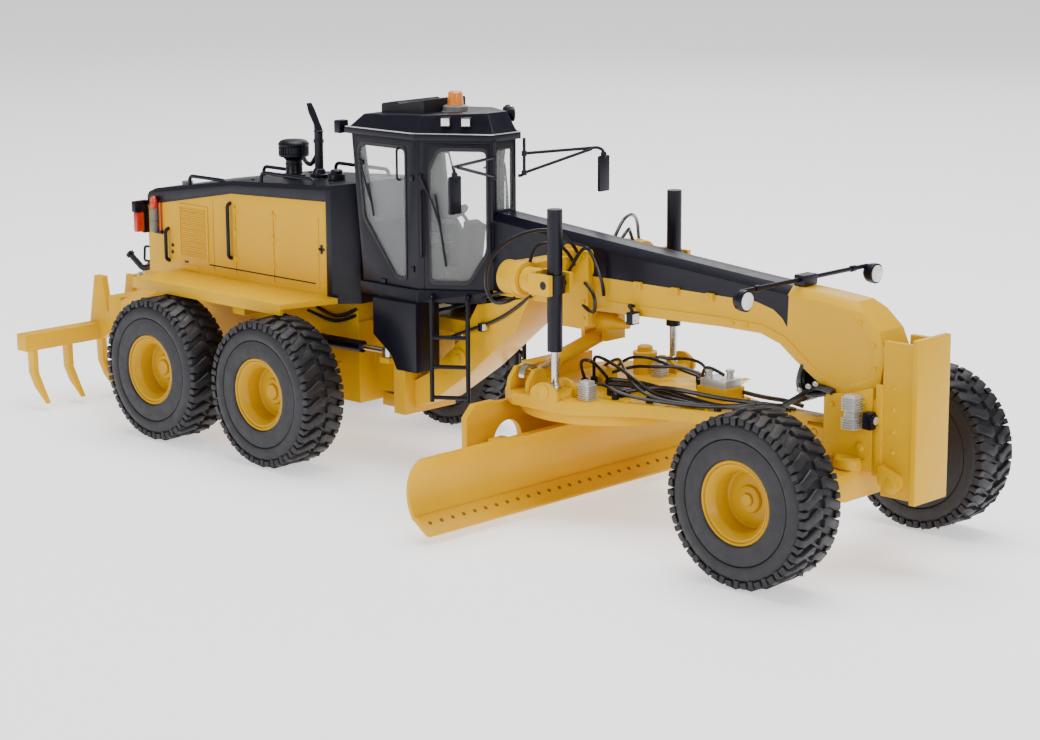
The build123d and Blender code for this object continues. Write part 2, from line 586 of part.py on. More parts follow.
def make_circle():
    low = circle_bottom
    ring = Pos(circle_x, 0, low + circle_thickness / 2) * (Cylinder(circle_radius, circle_thickness) - Cylinder(circle_bore, 9))
    plate = front_prism([(-28.6, 2.6), (28.6, 2.6), (28.6, 19.6), (26.2, 22.0), (20.6, 22.0), (20.6, low + circle_thickness),
                         (-20.6, low + circle_thickness), (-20.6, 22.0), (-26.2, 22.0), (-28.6, 19.6)],
                        arm_plate_x - arm_plate_thickness, arm_plate_x)
    slot = front_prism([(-21.0, 9.0), (-18.8, 7.0), (-18.8, 0), (18.8, 0), (18.8, 7.0), (21.0, 9.0), (21.0, 13.4), (13.0, 13.4),
                        (13.0, 10.6), (-13.0, 10.6), (-13.0, 13.4), (-21.0, 13.4)], arm_plate_x - 5, arm_plate_x + 5)
    for y in (-17.0, 17.0):
        slot = slot + bar((arm_plate_x - 5, y, 13.4), (arm_plate_x + 5, y, 13.4), 4.0)
    ears = []
    for y in (bracket_y - bracket_half - 0.15, bracket_y + bracket_half + 0.15):
        outward = -1 if y < bracket_y else 1
        ear = box(arm_plate_x - 0.5, tip_pivot_x + 1.0, y, y + outward * 1.3, 2.7, 5.3)
        ears.append(ear - bar((tip_pivot_x, 0, tip_pivot_z), (tip_pivot_x, 40, tip_pivot_z), 0.6 + running_clearance))
    return ring + (plate - slot) + both_sides(ears[0]) + both_sides(ears[1])


blade_rails = ((5.4, 1.3), (13.2, 1.3))
rail_back = -66.75


def make_blade_bracket():
    """Carries the blade on its rails and tips about the feet of the circle arms."""
    y0, y1 = bracket_y - bracket_half, bracket_y + bracket_half
    foot = box(-68.6, rail_back - 0.1, y0, y1, 2.9, 15.2) + box(-69.4, rail_back - 0.1, y0, y1, 2.9, 5.0)
    foot = foot + box(-68.6, -65.8, y0, y1, 2.9, blade_rails[0][0] - blade_rails[0][1] / 2 - 0.1)
    foot = foot + box(-68.6, -65.9, y0, y1, blade_rails[1][0] + blade_rails[1][1] / 2 + 0.1, 15.2)
    pin = bar((tip_pivot_x, y0 - 1.4, tip_pivot_z), (tip_pivot_x, y1 + 1.4, tip_pivot_z), 0.6)
    cross = box(-68.6, rail_back - 0.45, -y0, y0, 6.6, 7.8)
    barrel = bar((-68.4, -y1, 9.9), (-68.4, -1.6, 9.9), 1.05)
    bore = bar((-68.4, -y1 - 1, 9.9), (-68.4, 0, 9.9), 0.5 + rod_clearance)
    return both_sides(foot + pin) + cross + barrel - bore


def make_blade():
    half = blade_length / 2
    outer, inner = blade_radius + blade_thickness, blade_radius
    arc = Pos(blade_centre_x, 0, blade_centre_z) * (Rot(90, 0, 0) * (Cylinder(outer, blade_length) - Cylinder(inner, blade_length + 2)))
    keep = side_prism([(-75, blade_bottom + 2.4), (-60.6, blade_bottom + 2.4), (-59.2, 9.2), (-59.4, 16.6), (-75, 16.6)], -half - 1, half + 1)
    skin = arc & keep
    edge = side_prism([(-65.2, 4.4), (-64.0, 4.9), (-60.2, blade_bottom + 0.5), (-60.2, blade_bottom), (-61.2, blade_bottom)], -half, half)
    blade = skin + edge
    rails = [box(rail_back, rail_back + 1.6, -half + 6, half - 6, z - h / 2, z + h / 2) for z, h in blade_rails]
    core = Pos(blade_centre_x, 0, blade_centre_z) * (Rot(90, 0, 0) * Cylinder(blade_radius + 0.3, blade_length))
    for rail in rails:
        blade = blade + (rail - core)
    lug = box(-69.2, rail_back + 0.6, 9.0, 10.2, 9.0, 10.8)
    rod = bar((-68.4, -13.5, 9.9), (-68.4, 9.2, 9.9), 0.5)
    return blade + (lug - core) + rod


# Rear frame
def make_chassis():
    hitch = box(pivot_x - 2.6, pivot_x + 2.6, -3.4, 3.4, 13.6, 29.0)
    hitch = hitch - bar((pivot_x, 0, 0), (pivot_x, 0, 50), pivot_pin_radius + running_clearance)
    nose = box(-140, pivot_x - 2.6, -3.4, 3.4, 13.6, 29.0)
    shoulders = box(-145, -123.6, -rail_half_width, rail_half_width, 11.0, 29.0)
    rails = box(-198, -145, -rail_half_width, rail_half_width, 19.0, housing_floor)
    front_block = box(-145, -124, -rail_half_width, rail_half_width, 29.0, housing_floor)
    middle = (mid_axle + rear_axle) / 2
    axle = bar((middle, -tandem_inner, axle_height), (middle, tandem_inner, axle_height), 4.2)
    tail = box(-202.6, -198, -15.2, 15.2, 15.0, 26.0)
    for y in (ripper_arm_y - 1.0, ripper_arm_y + 1.0):
        outward = -1 if y < ripper_arm_y else 1
        ear = box(ripper_pivot_x - 1.6, -202.4, y, y + outward * 1.1, ripper_pivot_z - 1.8, ripper_pivot_z + 1.8)
        tail = tail + both_sides(ear)
    tail = tail + both_sides(bar((ripper_pivot_x, -ripper_arm_y - 2.0, ripper_pivot_z), (ripper_pivot_x, -ripper_arm_y + 2.0, ripper_pivot_z), 0.8))
    rx, rz = ripper_pin
    post = box(rx - 1.4, rx + 3.5, -2.6, 2.6, 25.0, rz + 1.2) - box(rx - 5, rx + 1.8, -1.5, 1.5, rz - 4.2, rz + 3)
    post = post + bar((rx, -2.6, rz), (rx, 2.6, rz), 0.7)
    px, py = articulation_pin
    lug = box(px - 1.4, px + 1.4, py - 1.4, -rail_half_width, articulation_z - 2.4, articulation_z - 1.5)
    lug = lug + bar((px, py, articulation_z - 2.4), (px, py, articulation_z + 1.6), 0.7)
    return hitch + nose + shoulders + rails + front_block + axle + tail + post + both_sides(lug)


def make_articulation():
    px, py = articulation_pin
    ex, ey = articulation_eye
    z = articulation_z
    barrel, rod = cylinder_pair((px, py, z), (ex, ey, z), 16.5, 14.0, 1.3, 0.65, 0.75)
    barrel = barrel + bar((px, py, z - 1.3), (px, py, z + 1.3), 1.5) - bar((px, py, z - 3), (px, py, z + 3), 0.7 + running_clearance)
    rod = rod + bar((ex, ey, z - 1.0), (ex, ey, z + 1.0), 1.45) - bar((ex, ey, z - 2), (ex, ey, z + 2), 1.0)
    return barrel, rod


def make_ripper_cylinder():
    barrel, rod = cylinder_pair((ripper_pin[0], 0, ripper_pin[1]), (ripper_eye[0], 0, ripper_eye[1]), 7.7, 8.0, 1.3, 0.6, 0.75)
    rx, rz = ripper_pin
    barrel = barrel + bar((rx, -1.2, rz), (rx, 1.2, rz), 1.4) - bar((rx, -3, rz), (rx, 3, rz), 0.7 + running_clearance)
    ex, ez = ripper_eye
    rod = rod + bar((ex, -1.0, ez), (ex, 1.0, ez), 1.3) - bar((ex, -3, ez), (ex, 3, ez), 0.9)
    return barrel, rod


def make_tandem():
    y0 = -tandem_inner - tandem_thickness
    case = side_prism([(rear_axle, axle_height - tandem_radius), (mid_axle, axle_height - tandem_radius),
                       (mid_axle, axle_height + tandem_radius), (rear_axle, axle_height + tandem_radius)], y0, -tandem_inner)
    for x in (rear_axle, mid_axle):
        case = case + bar((x, y0, axle_height), (x, -tandem_inner, axle_height), tandem_radius)
        case = case + bar((x, y0 + 1, axle_height), (x, -spindle_end, axle_height), spindle_radius)
    return both_sides(case)


# Seams between the side doors, along X, and the grilles as rear or near end, other end, bottom and top.
door_seams = (-166.6, -158.9, -146.0, -131.2)
seam_width = 0.35
seam_depth = 0.3
seam_bottom = housing_floor + 2.6
seam_top = 51.4
side_grille = (-178.0, -168.8, 38.0, 49.2)
rear_grille = (-8.6, 8.6, 36.6, 46.6)
slat_pitch = 1.3
slat_gap = 0.65
grille_depth = 0.7


def slat_heights(bottom, top):
    return [bottom + slat_pitch * k for k in range(int((top - bottom) / slat_pitch) + 1)]


def make_housing():
    block = side_prism([(housing_rear, housing_floor), (housing_rear, 48.8), (housing_kink, 54.2), (housing_front, 55.4),
                        (housing_front, housing_floor)], -housing_half_width, housing_half_width)
    cuts = []
    outer, inner = housing_half_width + 1, housing_half_width - seam_depth
    for x in door_seams:
        cuts.append(box(x, x + seam_width, inner, outer, seam_bottom, seam_top))
    x0, x1, z0, z1 = side_grille
    for z in slat_heights(z0, z1):
        cuts.append(box(x0, x1, housing_half_width - grille_depth, outer, z, z + slat_gap))
    cuts = cuts + [other_side(cut) for cut in cuts]
    y0, y1, z0, z1 = rear_grille
    for z in slat_heights(z0, z1):
        cuts.append(box(housing_rear - 1, housing_rear + grille_depth, y0, y1, z, z + slat_gap))
    return block.cut(*cuts)


def make_hood():
    half = housing_half_width + 0.2
    cap = side_prism([(housing_rear - 0.6, 48.9), (housing_kink, 54.3), (housing_front + 0.05, 55.5),
                      (housing_front + 0.05, housing_floor + 0.1), (tower_front, housing_floor + 0.1), (tower_front, 59.2),
                      (housing_front, 58.4), (housing_kink, 56.6), (housing_rear + 2.4, 52.4), (housing_rear - 0.6, 51.2)],
                     -half, half)
    ends = [e for e in cap.edges().filter_by(Axis.Y) if e.center().X < housing_rear + 3 and e.center().Z > 50]
    cap = fillet(ends, 1.1)
    crest = [e for e in cap.edges() if abs(abs(e.center().Y) - half) < 0.01 and e.center().Z > 51.3
             and e.center().Z > 51.9 + (e.center().X - housing_rear) * 0.11 and e.length > 4]
    cap = chamfer(crest, hood_chamfer)
    corner = plan_prism([(tower_front + 1, -half + tower_corner + 1.4), (tower_front + 1, -half - 1),
                         (tower_front - tower_corner - 0.3, -half - 1), (tower_front - tower_corner, -half)], 20, 70)
    return cap - both_sides(corner)


def make_walkway():
    y0, y1 = -walkway_half_width, -housing_half_width
    plate = plan_prism([(walkway_rear, y0), (housing_front - 0.2, y0), (housing_front + 3.4, y1), (walkway_rear, y1)],
                       walkway_top - 1.2, walkway_top)
    lip = box(walkway_rear, housing_front - 0.2, y0, y0 + 0.9, walkway_top - 2.4, walkway_top)
    strut = side_prism([(walkway_rear + 3, walkway_top - 1.2), (walkway_rear, walkway_top), (-202.4, 23.0), (-202.4, 20.0)], -15.2, -13.2)
    strut = strut - box(-204, -198, -20, 20, 10, 26.1)
    bracket = box(-149, -145, -22, -housing_half_width - 0.1, 29.6, walkway_top - 1.2)
    bracket = bracket + box(-149, -145, -housing_half_width - 0.2, -rail_half_width, 29.6, housing_floor - 0.1)
    tower = box(housing_front - 0.3, -120, -housing_half_width - 0.2, 0, 30, 40)
    return both_sides((plate - tower) + lip + strut + bracket)


def make_stacks():
    exhaust = bar((-144.4, 0, 57.8), (-144.4, 0, 69.4), 1.05)
    exhaust = exhaust + Pos(-144.4, 0, 69.4) * Sphere(1.05)
    exhaust = exhaust + bar((-144.4, 0, 69.4), (-146.3, 0, 72.2), 1.05)
    exhaust = exhaust + bar((-146.3, 0, 72.2), (-146.9, 0, 74.2), 0.8)
    intake = Pos(-152.8, 0, 57.2) * Cylinder(1.8, 5.6, align=(Align.CENTER, Align.CENTER, Align.MIN))
    intake = intake + Pos(-152.8, 0, 61.6) * Cylinder(3.3, 2.8, align=(Align.CENTER, Align.CENTER, Align.MIN))
    intake = intake + Pos(-152.8, 0, 64.4) * Cone(3.5, 2.9, 0.9, align=(Align.CENTER, Align.CENTER, Align.MIN))
    filler = bar((-136.5, -2, 58.15), (-136.5, -2, 59.4), 1.9) + bar((-136.5, -2, 59.4), (-136.5, -2, 60.2), 1.3)
    return [exhaust, intake, filler]


# Handrails of the hood: start and end along X, height of the bar.
hood_rails = ((-176.5, -163.5, 56.6), (-151.5, -133.5, 59.6))


def make_hood_rails():
    pieces = []
    hood = make_hood()
    for x0, x1, top in hood_rails:
        for y in (-11.0, 11.0):
            rail = box(x0, x1, y - 0.3, y + 0.3, top - 0.6, top)
            for x in (x0, x1 - 0.6):
                rail = rail + box(x, x + 0.6, y - 0.3, y + 0.3, top - 2.9, top)
            pieces.append(rail - hood)
    for x, y0, z0, z1 in ((-160.5, housing_half_width, 39.0, 52.0), (-182.8, housing_half_width, 36.0, 44.0)):
        handle = box(x, x + 0.6, y0 + 0.05, y0 + 1.3, z1 - 0.6, z1) + box(x, x + 0.6, y0 + 0.7, y0 + 1.3, z0, z1)
        handle = handle + box(x, x + 0.6, y0 + 0.05, y0 + 1.3, z0, z0 + 0.6)
        pieces.append(other_side(handle))
        pieces.append(handle)
    return Compound(children=pieces)


def make_rear_lights():
    pieces = []
    for side in (-1, 1):
        pieces.append(Pos(-187.0, side * (housing_half_width + 0.9), 47.0) * Cylinder(0.8, 4.0))
        pieces.append(box(housing_rear - 1.4, housing_rear - 0.05, side * 9.0, side * 11.0, 43.0, 46.5))
    return Compound(children=pieces)


# Ripper
def make_ripper():
    beam = box(ripper_beam_x - 1.8, ripper_beam_x + 1.8, -ripper_half_width, ripper_half_width, 13.8, 17.8)
    pieces = [beam]
    for k in range(shank_count):
        y = (k - (shank_count - 1) / 2) * shank_pitch
        shank = side_prism([(ripper_beam_x - 1.2, 14.0), (ripper_beam_x - 0.9, 8.2), (ripper_beam_x + 1.2, 5.0),
                            (ripper_beam_x + 5.6, tip_height), (ripper_beam_x + 3.0, 5.6), (ripper_beam_x + 1.3, 8.4),
                            (ripper_beam_x + 1.2, 14.0)], y - shank_thickness / 2, y + shank_thickness / 2)
        pieces.append(shank)
    arm = side_prism([(ripper_beam_x - 1.8, 13.8), (ripper_beam_x + 1.8, 13.8), (ripper_pivot_x + 1.4, ripper_pivot_z - 1.5),
                      (ripper_pivot_x + 1.4, ripper_pivot_z + 1.5), (ripper_pivot_x - 2.6, ripper_pivot_z + 2.0),
                      (-209.6, 29.2), (-212.6, 29.2), (ripper_beam_x - 1.8, 18.5)],
                     -ripper_arm_y - 0.85, -ripper_arm_y + 0.85)
    arm = arm - bar((ripper_pivot_x, -20, ripper_pivot_z), (ripper_pivot_x, -1, ripper_pivot_z), 0.8 + running_clearance)
    pieces.append(both_sides(arm))
    ex, ez = ripper_eye
    mast = side_prism([(ripper_beam_x - 1.8, 17.0), (ripper_beam_x + 1.8, 17.0), (ex + 1.5, ez + 1.3), (ex - 1.5, ez + 1.3)], -2.4, -1.2)
    mast = mast + bar((ex, -2.4, ez), (ex, 0.1, ez), 0.55)
    pieces.append(both_sides(mast))
    return pieces[0].fuse(*pieces[1:])


# Fittings of the cab and the front frame
mirror_y = 21.9
mirror_width = 2.8
light_bar_x = -9.8
light_bar_z = 51.0
light_bar_half = 19.6


def make_mirrors():
    pieces = []
    for side in (-1, 1):
        post_foot = (-86.0, side * 4.4)
        head = box(-80.2, -79.4, side * mirror_y - mirror_width / 2, side * mirror_y + mirror_width / 2, 58.6, 65.6)
        upper = bar((*post_foot, 67.4), (-80.6, side * mirror_y, 67.4), 0.35)
        drop = bar((-80.6, side * mirror_y, 67.7), (-79.9, side * mirror_y, 65.2), 0.35)
        lower = bar((*post_foot, 63.4), (-81.2, side * (mirror_y - 2.2), 67.2), 0.35)
        post = bar((*post_foot, 62.6), (*post_foot, cab_top + 0.2), 0.4)
        pieces.append(head + upper + drop + lower + post)
    return Compound(children=pieces)


# Work lamps at the roof's edge: X, Y and height of the middle, and the turn of the right one in degrees.
roof_lamps = ((-95.3, 9.0, 74.3, 55), (-91.8, 6.6, 74.3, 55), (-121.8, 12.0, 71.3, 0))
beacon_x = -101.5


def make_roof_gear():
    roof = make_roof()
    unit = side_prism([(-117.5, 73), (-117.5, 76.4), (-112.5, 77.2), (-112.0, 76.6), (-104.6, 77.9), (-104.6, 73)], -6.2, 6.2)
    z = roof_top(beacon_x)
    beacon = Pos(beacon_x, 0, z + 0.75) * Cylinder(2.0, 1.9) + Pos(beacon_x, 0, z + 2.4) * Cylinder(1.2, 3.6)
    pieces = [unit - roof, beacon - roof]
    for x, y, height, turn in roof_lamps:
        for side in (-1, 1):
            lamp = Pos(x, side * y, height) * (Rot(0, 0, side * turn) * Box(1.0, 2.2, 2.0))
            pieces.append(lamp - roof)
    return Compound(children=pieces)


def make_light_bar():
    x, z = light_bar_x, light_bar_z
    rail = bar((x, -light_bar_half, z), (x, light_bar_half, z), 0.45) + box(x - 1.3, x + 1.3, -2.0, 2.0, 49.82, z + 0.9)
    lamps = []
    for side in (-1, 1):
        lamps.append(Pos(x + 0.6, side * light_bar_half, z - 1.4) * (Rot(0, 90, 0) * Cylinder(1.7, 1.8)))
    return rail.fuse(*lamps)


nodes = {}


def add(name, shape):
    nodes[name] = shape


tyre = make_tyre()
rear_rim = make_rim(5.4, 2.4, 0.7)
front_rim = make_rim(5.4, 3.4, 1.9)
for place, x in (("front", 0), ("mid", mid_axle), ("rear", rear_axle)):
    for side_name, side in (("left", 1), ("right", -1)):
        add(f"tyre_{place}_{side_name}", at_wheel(tyre, x, side))
        add(f"rim_{place}_{side_name}", at_wheel(front_rim if place == "front" else rear_rim, x, side))

add("front_frame", make_beam() + make_front_hitch())
add("front_axle", make_axle_beam())
add("push_block", make_push_block())
add("lift_saddle", make_saddle())
cab_frame, cab_doors, cab_glass = make_cab()
add("cab_frame", cab_frame)
add("cab_doors", cab_doors)
add("cab_glass", cab_glass)
add("cab_roof", make_roof())
seat, console = make_interior()
add("cab_interior", Compound(children=[seat, console]))
add("cab_platform", make_platform())
add("ladders", both_sides(make_ladder()))
add("mirrors", make_mirrors())
add("roof_gear", make_roof_gear())
add("light_bar", make_light_bar())

articulation_barrel, articulation_rod = make_articulation()
for side_name, flip in (("right", lambda s: s), ("left", other_side)):
    add(f"lean_carrier_{side_name}", flip(make_lean_carrier()))
    add(f"knuckle_{side_name}", flip(make_knuckle()))
    add(f"lift_yoke_{side_name}", flip(make_yoke()))
    add(f"lift_barrel_{side_name}", flip(make_lift_barrel()))
    add(f"lift_rod_{side_name}", flip(make_lift_rod()))
    add(f"articulation_barrel_{side_name}", flip(articulation_barrel))
    add(f"articulation_rod_{side_name}", flip(articulation_rod))

add("tie_rod", make_tie_rod())
add("drawbar_link", make_drawbar_link())
add("drawbar", make_drawbar())
add("circle", make_circle())
add("blade_bracket", make_blade_bracket())
add("blade", make_blade())
centreshift_ball, centreshift_barrel, centreshift_rod = make_centreshift()
add("centreshift_ball", centreshift_ball)
add("centreshift_barrel", centreshift_barrel)
add("centreshift_rod", centreshift_rod)

add("rear_chassis", make_chassis())
add("tandem_cases", make_tandem())
add("engine_housing", make_housing())
add("hood", make_hood())
add("walkways", make_walkway())
add("stacks", Compound(children=make_stacks()))
add("hood_rails", make_hood_rails())
add("rear_lights", make_rear_lights())
add("ripper", make_ripper())
ripper_barrel, ripper_rod = make_ripper_cylinder()
add("ripper_barrel", ripper_barrel)
add("ripper_rod", ripper_rod)

os.makedirs("parts", exist_ok=True)
boxes = [shape.bounding_box() for shape in nodes.values()]
middle = (min(b.min.X for b in boxes) + max(b.max.X for b in boxes)) / 2
print("nodes", len(nodes), "moved back by", round(middle, 4))
for name, shape in nodes.items():
    export_step(Pos(-middle, 0, 0) * shape, f"parts/{name}.step")
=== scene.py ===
import json
import math

import bmesh
import bpy
from mathutils import Matrix, Vector


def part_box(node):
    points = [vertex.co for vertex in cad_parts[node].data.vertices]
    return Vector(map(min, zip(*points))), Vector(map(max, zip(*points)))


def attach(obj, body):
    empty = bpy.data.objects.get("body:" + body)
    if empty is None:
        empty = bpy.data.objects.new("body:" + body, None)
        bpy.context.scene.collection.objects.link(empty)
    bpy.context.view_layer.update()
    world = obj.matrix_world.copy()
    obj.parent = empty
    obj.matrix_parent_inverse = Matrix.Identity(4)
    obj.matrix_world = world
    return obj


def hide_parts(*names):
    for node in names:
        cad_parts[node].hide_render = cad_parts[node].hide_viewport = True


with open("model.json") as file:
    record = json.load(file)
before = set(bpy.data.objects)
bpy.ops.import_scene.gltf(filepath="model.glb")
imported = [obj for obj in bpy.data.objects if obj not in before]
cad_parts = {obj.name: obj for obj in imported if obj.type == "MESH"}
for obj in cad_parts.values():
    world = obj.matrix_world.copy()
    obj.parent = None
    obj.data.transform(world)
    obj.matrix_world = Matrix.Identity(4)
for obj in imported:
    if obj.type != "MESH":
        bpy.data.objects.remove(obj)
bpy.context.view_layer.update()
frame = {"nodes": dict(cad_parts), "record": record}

# Motor grader, a die-cast display model at 1:50. Places are given in millimetres: X forward from
# the front axle, Y to the left of the middle plane, Z up from the floor. at() turns them into metres.

MM = 0.001
rim_low, rim_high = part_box("rim_front_left")
front_axle = (rim_low.x + rim_high.x) / 2
body_of = {node: body for body, nodes in frame["record"]["behaviour"]["bodies"].items() for node in nodes}
RIGHT, LEFT = -1, 1
side_names = {RIGHT: "right", LEFT: "left"}


def at(x, y, z):
    """A place on the model, from millimetres to metres."""
    return Vector((x * MM + front_axle, y * MM, z * MM))


# Camera, floor and lights

camera_place = (268.67, -366.08, 132.03)
camera_turn = (12.12, 43.87, -0.26)
camera_lens = 86.79
floor_size = 30.0


def make_camera():
    """Looks down by the first angle, from the second round the model, and leans by the third."""
    down, round_, lean = (math.radians(a) for a in camera_turn)
    data = bpy.data.cameras.new("camera")
    data.lens = camera_lens
    data.sensor_width = 36
    data.clip_start = 0.02
    camera = bpy.data.objects.new("camera", data)
    bpy.context.collection.objects.link(camera)
    look = Matrix.Rotation(round_, 4, "Z") @ Matrix.Rotation(math.pi / 2 - down, 4, "X")
    camera.matrix_world = Matrix.Translation(at(*camera_place)) @ (look @ Matrix.Rotation(lean, 4, "Z"))
    bpy.context.scene.camera = camera


def make_lamp(name, place, aim, size, power):
    """A soft rectangular light. Its place and aim are in metres, like its size."""
    data = bpy.data.lights.new(name, "AREA")
    data.shape = "RECTANGLE"
    data.size, data.size_y = size
    data.energy = power
    lamp = bpy.data.objects.new(name, data)
    bpy.context.collection.objects.link(lamp)
    way = Vector(aim) - Vector(place)
    lamp.matrix_world = Matrix.Translation(place) @ way.to_track_quat("-Z", "Y").to_matrix().to_4x4()


def make_studio():
    make_lamp("overhead", (0.0, 0.1, 0.7), (0, 0, 0.02), (0.7, 0.5), 7.4)
    make_lamp("front_fill", (0.8, -0.3, 0.3), (0, 0, 0.04), (0.35, 0.35), 2.5)
    make_lamp("side_fill", (-0.15, -0.85, 0.32), (-0.03, 0, 0.04), (0.5, 0.35), 2.7)
    make_lamp("back_light", (-0.4, 0.7, 0.45), (0, 0, 0.04), (0.5, 0.4), 1.4)
    make_sky(0.36)


def make_sky(strength):
    """An even white sky round the studio."""
    world = bpy.data.worlds.new("studio")
    bpy.context.scene.world = world
    world.use_nodes = True
    set_inputs(world.node_tree.nodes["Background"], {"Color": (1, 1, 1, 1), "Strength": strength})


# Materials and node trees

def set_inputs(node, values):
    """Gives a node's inputs plain values, or links from the outputs of other nodes."""
    for key, value in values.items():
        if isinstance(value, bpy.types.NodeSocket):
            node.id_data.links.new(value, node.inputs[key])
        else:
            node.inputs[key].default_value = value


def add_node(tree, kind, values=None, **settings):
    """A new node with its settings and its inputs."""
    node = tree.nodes.new(kind)
    for key, value in settings.items():
        setattr(node, key, value)
    set_inputs(node, values or {})
    return node


def new_material(name):
    material = bpy.data.materials.new(name)
    material.use_nodes = True
    return material, material.node_tree, material.node_tree.nodes["Principled BSDF"]


def cloudy(tree, scale, low, high):
    """A noise on Object coordinates, brought between two values. Returns its output."""
    place = add_node(tree, "ShaderNodeTexCoord").outputs["Object"]
    noise = add_node(tree, "ShaderNodeTexNoise", {"Scale": scale, "Detail": 2.0, "Vector": place})
    span = {"From Min": 0.3, "From Max": 0.7, "To Min": low, "To Max": high, "Value": noise.outputs["Fac"]}
    return add_node(tree, "ShaderNodeMapRange", span).outputs["Result"]


def grainy(tree, grain, relief):
    """Fine relief over a surface. Returns its normals."""
    values = {"Strength": relief, "Distance": 0.0002, "Height": cloudy(tree, grain, 0, 1)}
    return add_node(tree, "ShaderNodeBump", values).outputs["Normal"]


def finish(name, colour, rough, metal=0.0, coat=0.0, shade=0.12, patch=90.0, grain=2600.0, relief=0.02,
           specular=0.5):
    """A colour that drifts a little from patch to patch, with a fine grain in its gloss and relief."""
    material, tree, shader = new_material(name)
    dark = [c * (1 - shade) for c in colour] + [1]
    light = [min(1, c * (1 + shade * 0.5)) for c in colour] + [1]
    mix = add_node(tree, "ShaderNodeMix", {"A": dark, "B": light, "Factor": cloudy(tree, patch, 0, 1)},
                   data_type="RGBA")
    set_inputs(shader, {
        "Base Color": mix.outputs["Result"],
        "Roughness": cloudy(tree, grain * 0.2, rough * 0.85, rough * 1.15),
        "Normal": grainy(tree, grain, relief), "Metallic": metal, "Coat Weight": coat,
        "Coat Roughness": 0.12, "Specular IOR Level": specular})
    material.diffuse_color = [*colour, 1]
    return material


yellow_colour = (0.70, 0.385, 0.0005)
black_colour = (0.0028, 0.0026, 0.009)

enamel = finish("yellow_enamel", yellow_colour, 0.34, coat=0.03, shade=0.05, specular=0.17)
black = finish("satin_black", black_colour, 0.34, coat=0.03, shade=0.2, specular=0.26)
rubber = finish("tyre_rubber", (0.013, 0.012, 0.015), 0.52, shade=0.25, patch=160.0, relief=0.12,
                specular=0.4)
plastic = finish("dark_plastic", (0.008, 0.008, 0.011), 0.5, shade=0.2, relief=0.08, specular=0.35)
steel = finish("bright_steel", (0.62, 0.61, 0.60), 0.25, metal=1.0, shade=0.1, relief=0.03)
silver = finish("silver_paint", (0.62, 0.62, 0.60), 0.35, metal=0.6, shade=0.12)
hose_black = finish("hose_black", (0.004, 0.004, 0.008), 0.32, coat=0.1, shade=0.2, specular=0.4)
red_lens = finish("red_lens", (0.50, 0.02, 0.01), 0.2, coat=0.3, shade=0.15)
rim_enamel = finish("rim_enamel", (0.52, 0.28, 0.001), 0.36, coat=0.03, shade=0.07, specular=0.18)
# Dark brown for the bolts of the cutting edge: painted shade of their recessed holes.
bolt_hole_shade = finish("bolt_hole_shade", (0.22, 0.11, 0.004), 0.5, shade=0.15, specular=0.3)
amber_lens = finish("amber_lens", (0.90, 0.24, 0.003), 0.2, coat=0.3, shade=0.1)
white_lens = finish("white_lens", (0.85, 0.85, 0.82), 0.12, coat=0.8, shade=0.05)
grey_cap = finish("grey_cap", (0.16, 0.16, 0.16), 0.4, shade=0.15)
rubber_black = finish("seal_rubber", (0.010, 0.010, 0.012), 0.55, shade=0.3, relief=0.06)
grey_cloth = finish("seat_grey", (0.07, 0.07, 0.075), 0.75, shade=0.25, grain=4200, relief=0.3)


def make_glass():
    material, tree, shader = new_material("window_glass")
    set_inputs(shader, {"Base Color": (0.9, 0.94, 0.95, 1), "IOR": 1.45, "Alpha": 0.1, "Coat Weight": 0.1,
                        "Roughness": cloudy(tree, 60, 0.03, 0.07)})
    material.diffuse_color = (0.8, 0.85, 0.88, 0.3)
    return material


glass = make_glass()

# Black band of the front frame, as heights of its lower edge along X.
band_edge = ((-95, 39.7), (-80.2, 39.7), (-80.0, 46.0), (-18.6, 46.0), (-14.5, 45.0), (-12.4, 43.6),
             (-10.9, 41.6), (-10.7, 60.0), (15, 60.0))
band_start, band_reach = band_edge[0][0], band_edge[-1][0] - band_edge[0][0]
height_span = 100.0


def make_banded():
    """Yellow below and black above the band's edge on the front frame."""
    material, tree, shader = new_material("banded_enamel")
    place = add_node(tree, "ShaderNodeTexCoord").outputs["Object"]
    split = add_node(tree, "ShaderNodeSeparateXYZ", {0: place})
    span = {"From Min": at(band_start, 0, 0).x, "From Max": at(band_start + band_reach, 0, 0).x,
            "Value": split.outputs["X"]}
    along = add_node(tree, "ShaderNodeMapRange", span)
    ramp = add_node(tree, "ShaderNodeValToRGB", {"Fac": along.outputs["Result"]})
    stops = ramp.color_ramp.elements
    while len(stops) < len(band_edge):
        stops.new(0.5)
    for stop, (x, z) in zip(stops, band_edge):
        stop.position = (x - band_start) / band_reach
        stop.color = (z / height_span, z / height_span, z / height_span, 1)
    edge = add_node(tree, "ShaderNodeMath", {0: ramp.outputs["Color"], 1: height_span * MM},
                    operation="MULTIPLY")
    above = add_node(tree, "ShaderNodeMath", {0: split.outputs["Z"], 1: edge.outputs[0]},
                     operation="GREATER_THAN")
    tones = {"A": [*yellow_colour, 1], "B": [*black_colour, 1], "Factor": above.outputs[0]}
    mix = add_node(tree, "ShaderNodeMix", tones, data_type="RGBA")
    set_inputs(shader, {
        "Base Color": mix.outputs["Result"], "Roughness": cloudy(tree, 520, 0.28, 0.36),
        "Normal": grainy(tree, 2600.0, 0.02), "Coat Weight": 0.03, "Specular IOR Level": 0.22})
    return material


banded = make_banded()


# Shapes

